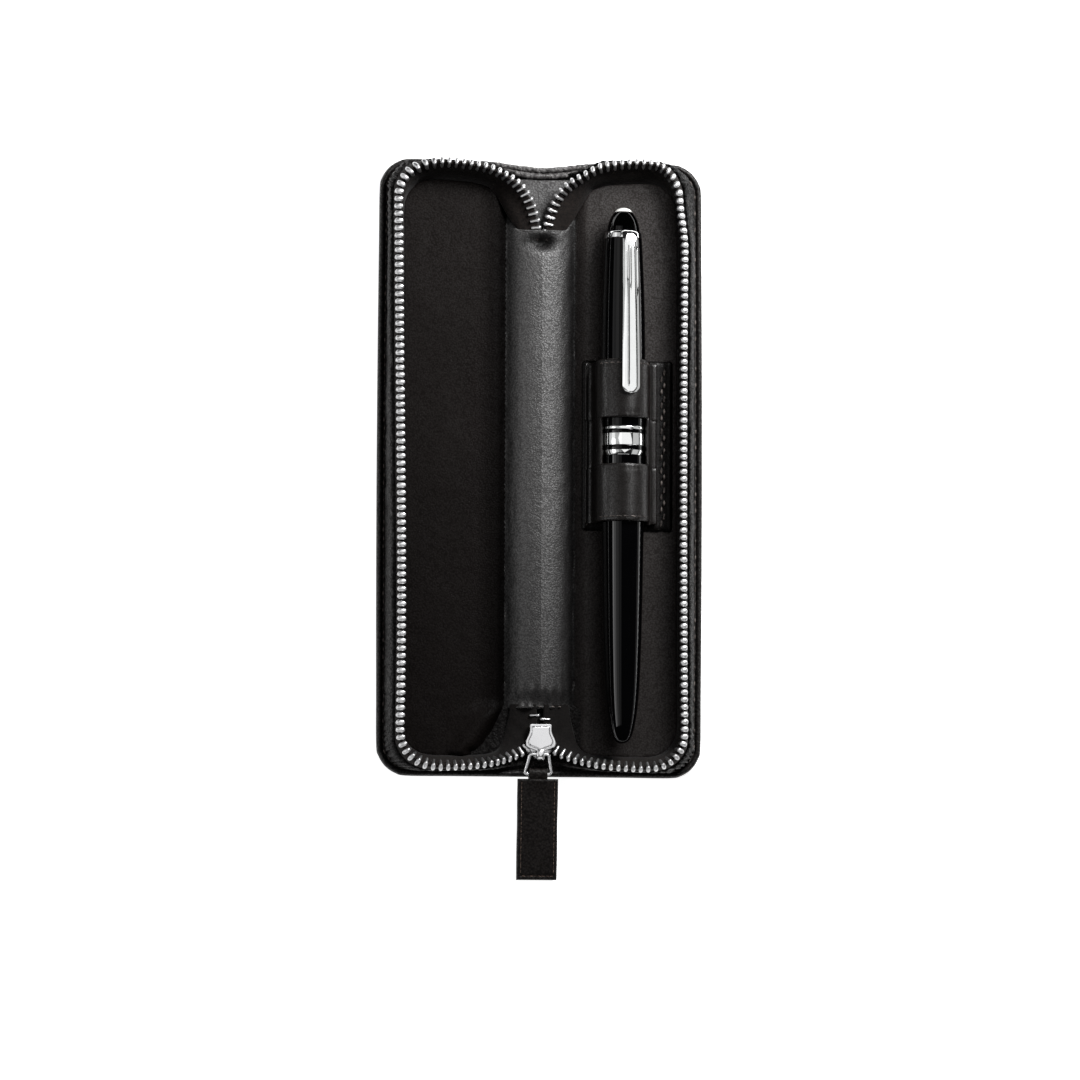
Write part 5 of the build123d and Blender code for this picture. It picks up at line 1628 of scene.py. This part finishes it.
# name, CAD piece, then y0, y1, inner radius, outer radius at y0 and y1, bulge
for name, replaced, shape in (
        ("ring_thin", "cap_ring_upper", (9.75, 10.5, 5.36, 5.96, 5.96, 0.03)),
        ("ring_wide", "cap_ring_middle", (5.55, 8.7, 5.36, 6.0, 6.0, 0.05)),
        ("ring_low", "cap_ring_lower", (2.95, 4.35, 5.16, 5.58, 5.95, 0.04))):
    turned(name, ring_profile(*shape), CHROME, 40, "pen_cap", replaced)
turned("ring_spacers",
       [(5.16, 4.4), (5.88, 4.4), (5.9, 4.45), (5.9, 5.45), (5.88, 5.5), (5.33, 5.5),
        (5.33, 8.76), (5.88, 8.76), (5.9, 8.8), (5.9, 9.65), (5.88, 9.7), (5.33, 9.7),
        (5.33, 10.6), (5.16, 10.6)], RESIN, 40, "pen_cap", "cap_spacers")
turned("barrel_shell", np.vstack([
    [(0, -62.0), (3.2, -58.0), (4.0, -50.0), (4.0, 9.4), (4.95, 9.4), (4.95, 2.86),
     (5.66, 2.86)], smooth_line(BARREL_LINE, 150)]), RESIN, 30, "pen_barrel", "barrel")

# ------------------------------------------------------------------ clip
# The strip's centre line from its folded root to its tip: y along the pen, radius
CLIP_LINE = ((60.9, 5.05), (61.25, 6.2), (60.9, 7.25), (59.3, 7.9), (56.5, 8.15), (50.0, 8.32),
             (42.0, 8.35), (34.0, 8.3), (26.0, 8.18), (21.9, 8.05), (20.1, 7.98), (18.8, 7.88))
# Places across the strip, as shares of its half width; the groove's floor is at -0.24
CLIP_ACROSS = np.array([-1, -0.97, -0.88, -0.7, -0.5, -0.36, -0.30, -0.24, -0.18, -0.12, 0.0,
                        0.2, 0.45, 0.7, 0.88, 0.97, 1])
GROOVE_COLUMNS = ({6, 7}, {7, 8})
GROOVE_Y0, GROOVE_Y1 = 20.9, 57.5


def clip_sections():
    near_tip = 1 - (1 - np.linspace(0, 1, 30)[1:]) ** 2
    line = spline(CLIP_LINE, np.r_[np.linspace(0, 9, 96), np.linspace(9, 10, 14)[1:],
                                   10 + near_tip])
    y, radius = line[:, 0:1], line[:, 1:2]
    tangent = tangents(line)
    normal = np.c_[-tangent[:, 1], tangent[:, 0]]
    normal *= np.sign(normal[:, 1:2] + (normal[:, 1:2] == 0))
    normal[:12] = unit(np.c_[np.ones(12), np.linspace(-0.2, 0.9, 12)])
    distance = arc_length(line)[:, None]
    total = distance[-1, 0]
    tip = np.clip((total - distance) / 2.0, 0, 1)
    tip = np.sqrt(np.clip(1 - (1 - tip) ** 2, 0.0004, 1))
    half = (1.95 + 0.42 * ease(0, total, distance)) * ease(-0.5, 0.8, distance) ** 0.3 * tip
    flutes = ease(58.5, 55.0, y) * ease(41.0, 50.0, y)       # ripples near the root
    groove = ease(49.5, 46.5, y) * ease(20.2, 22.0, y)       # one long groove below
    across = CLIP_ACROSS
    top = (0.42 - 0.30 * np.abs(across) ** 3.0
           + 0.16 * bell(across, -0.60, 0.26) * (0.4 + 0.6 * groove)
           - 0.32 * groove * bell(across, -0.24, 0.06)
           + 0.10 * flutes * np.cos((across + 0.1) * 11.0))
    x = np.hstack([across * half, across[::-1] * half * 0.96])
    height = np.hstack([top, np.full_like(top, -0.36)])
    height = height * (0.35 + 0.65 * np.minimum(1.0, tip * 1.6))
    radius = radius + normal[:, 1:2] * height
    # the strip leans round the pen, more towards its tip
    lean = np.radians(4.8 + 2.9 * np.clip((61.0 - y) / 42.0, 0, 1))
    cos, sin = np.cos(lean), np.sin(lean)
    return np.stack([PEN_X + x * cos + radius * sin, along_pen(y + normal[:, 0:1] * height),
                     PEN_Z - x * sin + radius * cos], -1)


def paint_groove_shade(mesh, sections):
    """Paints the floor of the clip's long groove near black, as painted shade in the groove, with
    its own material.
    """
    mesh.materials.append(GROOVE_SHADE)
    count, sides, _ = sections.shape
    middle_y = sections[:, :, 1].mean(1)
    for face in mesh.polygons:
        ids = [v for v in face.vertices if v < count * sides]
        if (len(ids) == 4 and {v % sides for v in ids} in GROOVE_COLUMNS
                and GROOVE_Y0 < middle_y[ids[0] // sides] < GROOVE_Y1):
            face.material_index = 1


sections = clip_sections()
ob = sharpen(swept("clip_strip", sections, CHROME), 50)
paint_groove_shade(ob.data, sections)
attach(ob, "clip", "pocket_clip")

# ------------------------------------------------------------------ CAD pieces that stay
CAD_MATERIALS = {
    "right_board": BOARD, "left_board": BOARD, "spine_board": BOARD, "top_stop": TEETH,
    "bottom_stop": TEETH, "section_ring": CHROME, "grip_section": RESIN, "nib": STEEL,
    "converter_body": CLEAR,
}
replaced_names = {name for ob in bpy.context.scene.objects
                  for name in (ob.get("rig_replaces") or [])}
for name, ob in frame["nodes"].items():
    if name not in replaced_names:
        ob.data.materials.clear()
        ob.data.materials.append(CAD_MATERIALS.get(name, INNER))

# ------------------------------------------------------------------ floor and world
FLOOR_HALF, FLOOR_Z = 900, -0.05
floor = make("floor", [(x * FLOOR_HALF, y * FLOOR_HALF, FLOOR_Z)
                       for x, y in ((-1, -1), (1, -1), (1, 1), (-1, 1))],
             [(0, 1, 2, 3)], floor_material(), smooth=False)

world = bpy.data.worlds.new("studio")
bpy.context.scene.world = world
world.use_nodes = True
background = world.node_tree.nodes["Background"]
background.inputs["Color"].default_value = (0.95, 0.97, 1.0, 1)
background.inputs["Strength"].default_value = 0.015


# ------------------------------------------------------------------ lights
def axes_rotation(up, back):
    """Rotation whose local y is up and local z is back."""
    return Matrix((up.cross(back), up, back)).transposed().to_quaternion()


def area_light(name, place, target, width, height, radiance, up=None, receivers=None):
    """A rectangular light at place, facing target."""
    data = bpy.data.lights.new(name, "AREA")
    data.shape = "RECTANGLE"
    data.size = width * MM
    data.size_y = height * MM
    data.energy = radiance * math.pi * width * height * 1e-6
    light = bpy.data.objects.new(name, data)
    bpy.context.scene.collection.objects.link(light)
    light.location = Vector(place) * MM
    light.rotation_mode = "QUATERNION"
    facing = Vector(target) - Vector(place)
    if up is None:
        light.rotation_quaternion = facing.to_track_quat("-Z", "Y")
    else:
        light.rotation_quaternion = axes_rotation(up, -facing.normalized())
    if receivers:
        light.light_linking.receiver_collection = receivers
    return light


def strip_light(name, angle, width, y0, y1, radiance, receivers=None):
    """A strip along y, at an angle from straight above (minus is left), width in degrees."""
    radius = 500.0
    a = math.radians(angle)
    y = (y0 + y1) / 2
    area_light(name, (math.sin(a) * radius, y, math.cos(a) * radius), (0, y, 5),
               2 * radius * math.tan(math.radians(width / 2)), y1 - y0, radiance,
               Vector((0, 1, 0)), receivers)


def group(name, accept):
    """A collection of the objects that pass a test, for light linking."""
    collection = bpy.data.collections.new(name)
    for ob in bpy.context.scene.objects:
        if accept(ob):
            collection.objects.link(ob)
    return collection


def made_of(*mats):
    return lambda ob: (ob.type == "MESH" and ob.data.materials
                       and ob.data.materials[0] in mats)


# name, angle, width, y0, y1, radiance
for strip in (("left_bright", -58, 8, -260, 60, 2.6),
              ("left_bright_far", -58, 8, 60, 300, 0.4),
              ("left_mid", -48, 12, -260, 60, 1.15),
              ("left_mid_far", -48, 12, 60, 300, 0.3),
              ("left_soft", -34, 16, -260, 300, 0.45),
              ("left_faint", -18, 14, -260, 300, 0.2),
              ("right_edge", 82, 6, -260, 300, 0.3)):
    strip_light(*strip)

key = area_light("key_back_right", place=(175, 235, 250), target=(5, 10, 0),
                 width=170, height=150, radiance=26.0)
UNLIT_BY_KEY = ("cap_dome", "right_gusset_cap_end", "right_gusset_wall", "right_gusset_pull_end")
not_lit = group("not_lit_by_key", lambda ob: ob.name in UNLIT_BY_KEY)
for member in not_lit.collection_objects:
    member.light_linking.link_state = "EXCLUDE"
key.light_linking.receiver_collection = not_lit

overhead = area_light("overhead_for_metal", place=(70, 60, 620), target=(0, 0, 0),
                      width=620, height=620, radiance=1.0)
metal_only = group("metal_receivers", made_of(CHROME, TEETH, SLIDER, INLAY))
overhead.light_linking.receiver_collection = metal_only
for name, place, width, height, radiance in (
        ("metal_left", (-620, 0, 330), 420, 900, 0.6),
        ("metal_right", (620, 0, 330), 420, 900, 0.55),
        ("metal_front", (0, -620, 360), 700, 420, 1.0)):
    target = Vector((0, 0, 5))
    facing = (target - Vector(place)).normalized()
    up = Vector((0, 1, 0)) if place[0] else (Vector((0, 0, 1)) - facing * facing.z).normalized()
    area_light(name, place, target, width, height, radiance, up, metal_only)

area_light("right_panel_fill", place=(95, 130, 500), target=(30, 0, 0),
           width=300, height=300, radiance=3.0,
           receivers=group("right_panel_receivers",
                           lambda ob: ob.name == "right_lining_leather"))
loop_only = group("loop_receivers", made_of(LOOP))
strip_light("loop_left", -86, 8, -260, 300, 3.0, loop_only)
strip_light("loop_right", 31, 9, -260, 300, 2.7, loop_only)

# ------------------------------------------------------------------ camera
CAMERA_DISTANCE, VIEW_WIDTH, SENSOR_WIDTH = 1500.0, 286.7, 36.0
CAMERA_AIM = Vector((0.27, -19.09, 0.0))
CAMERA_BACK = Vector((-0.125, -0.0917, 1.0)).normalized()
CAMERA_ROLL = 0.0039

camera_data = bpy.data.cameras.new("camera")
camera_data.sensor_width = SENSOR_WIDTH
camera_data.lens = SENSOR_WIDTH * CAMERA_DISTANCE / VIEW_WIDTH
camera_data.clip_start, camera_data.clip_end = 0.05, 10.0
camera = bpy.data.objects.new("camera", camera_data)
bpy.context.scene.collection.objects.link(camera)
camera.location = (CAMERA_AIM + CAMERA_BACK * CAMERA_DISTANCE) * MM
camera.rotation_mode = "QUATERNION"
up = (Vector((0, 1, 0)) - CAMERA_BACK * CAMERA_BACK.y).normalized()
roll = Quaternion((0, 0, 1), CAMERA_ROLL)
camera.rotation_quaternion = axes_rotation(up, CAMERA_BACK) @ roll
bpy.context.scene.camera = camera
bpy.context.scene.view_settings.view_transform = "Standard"
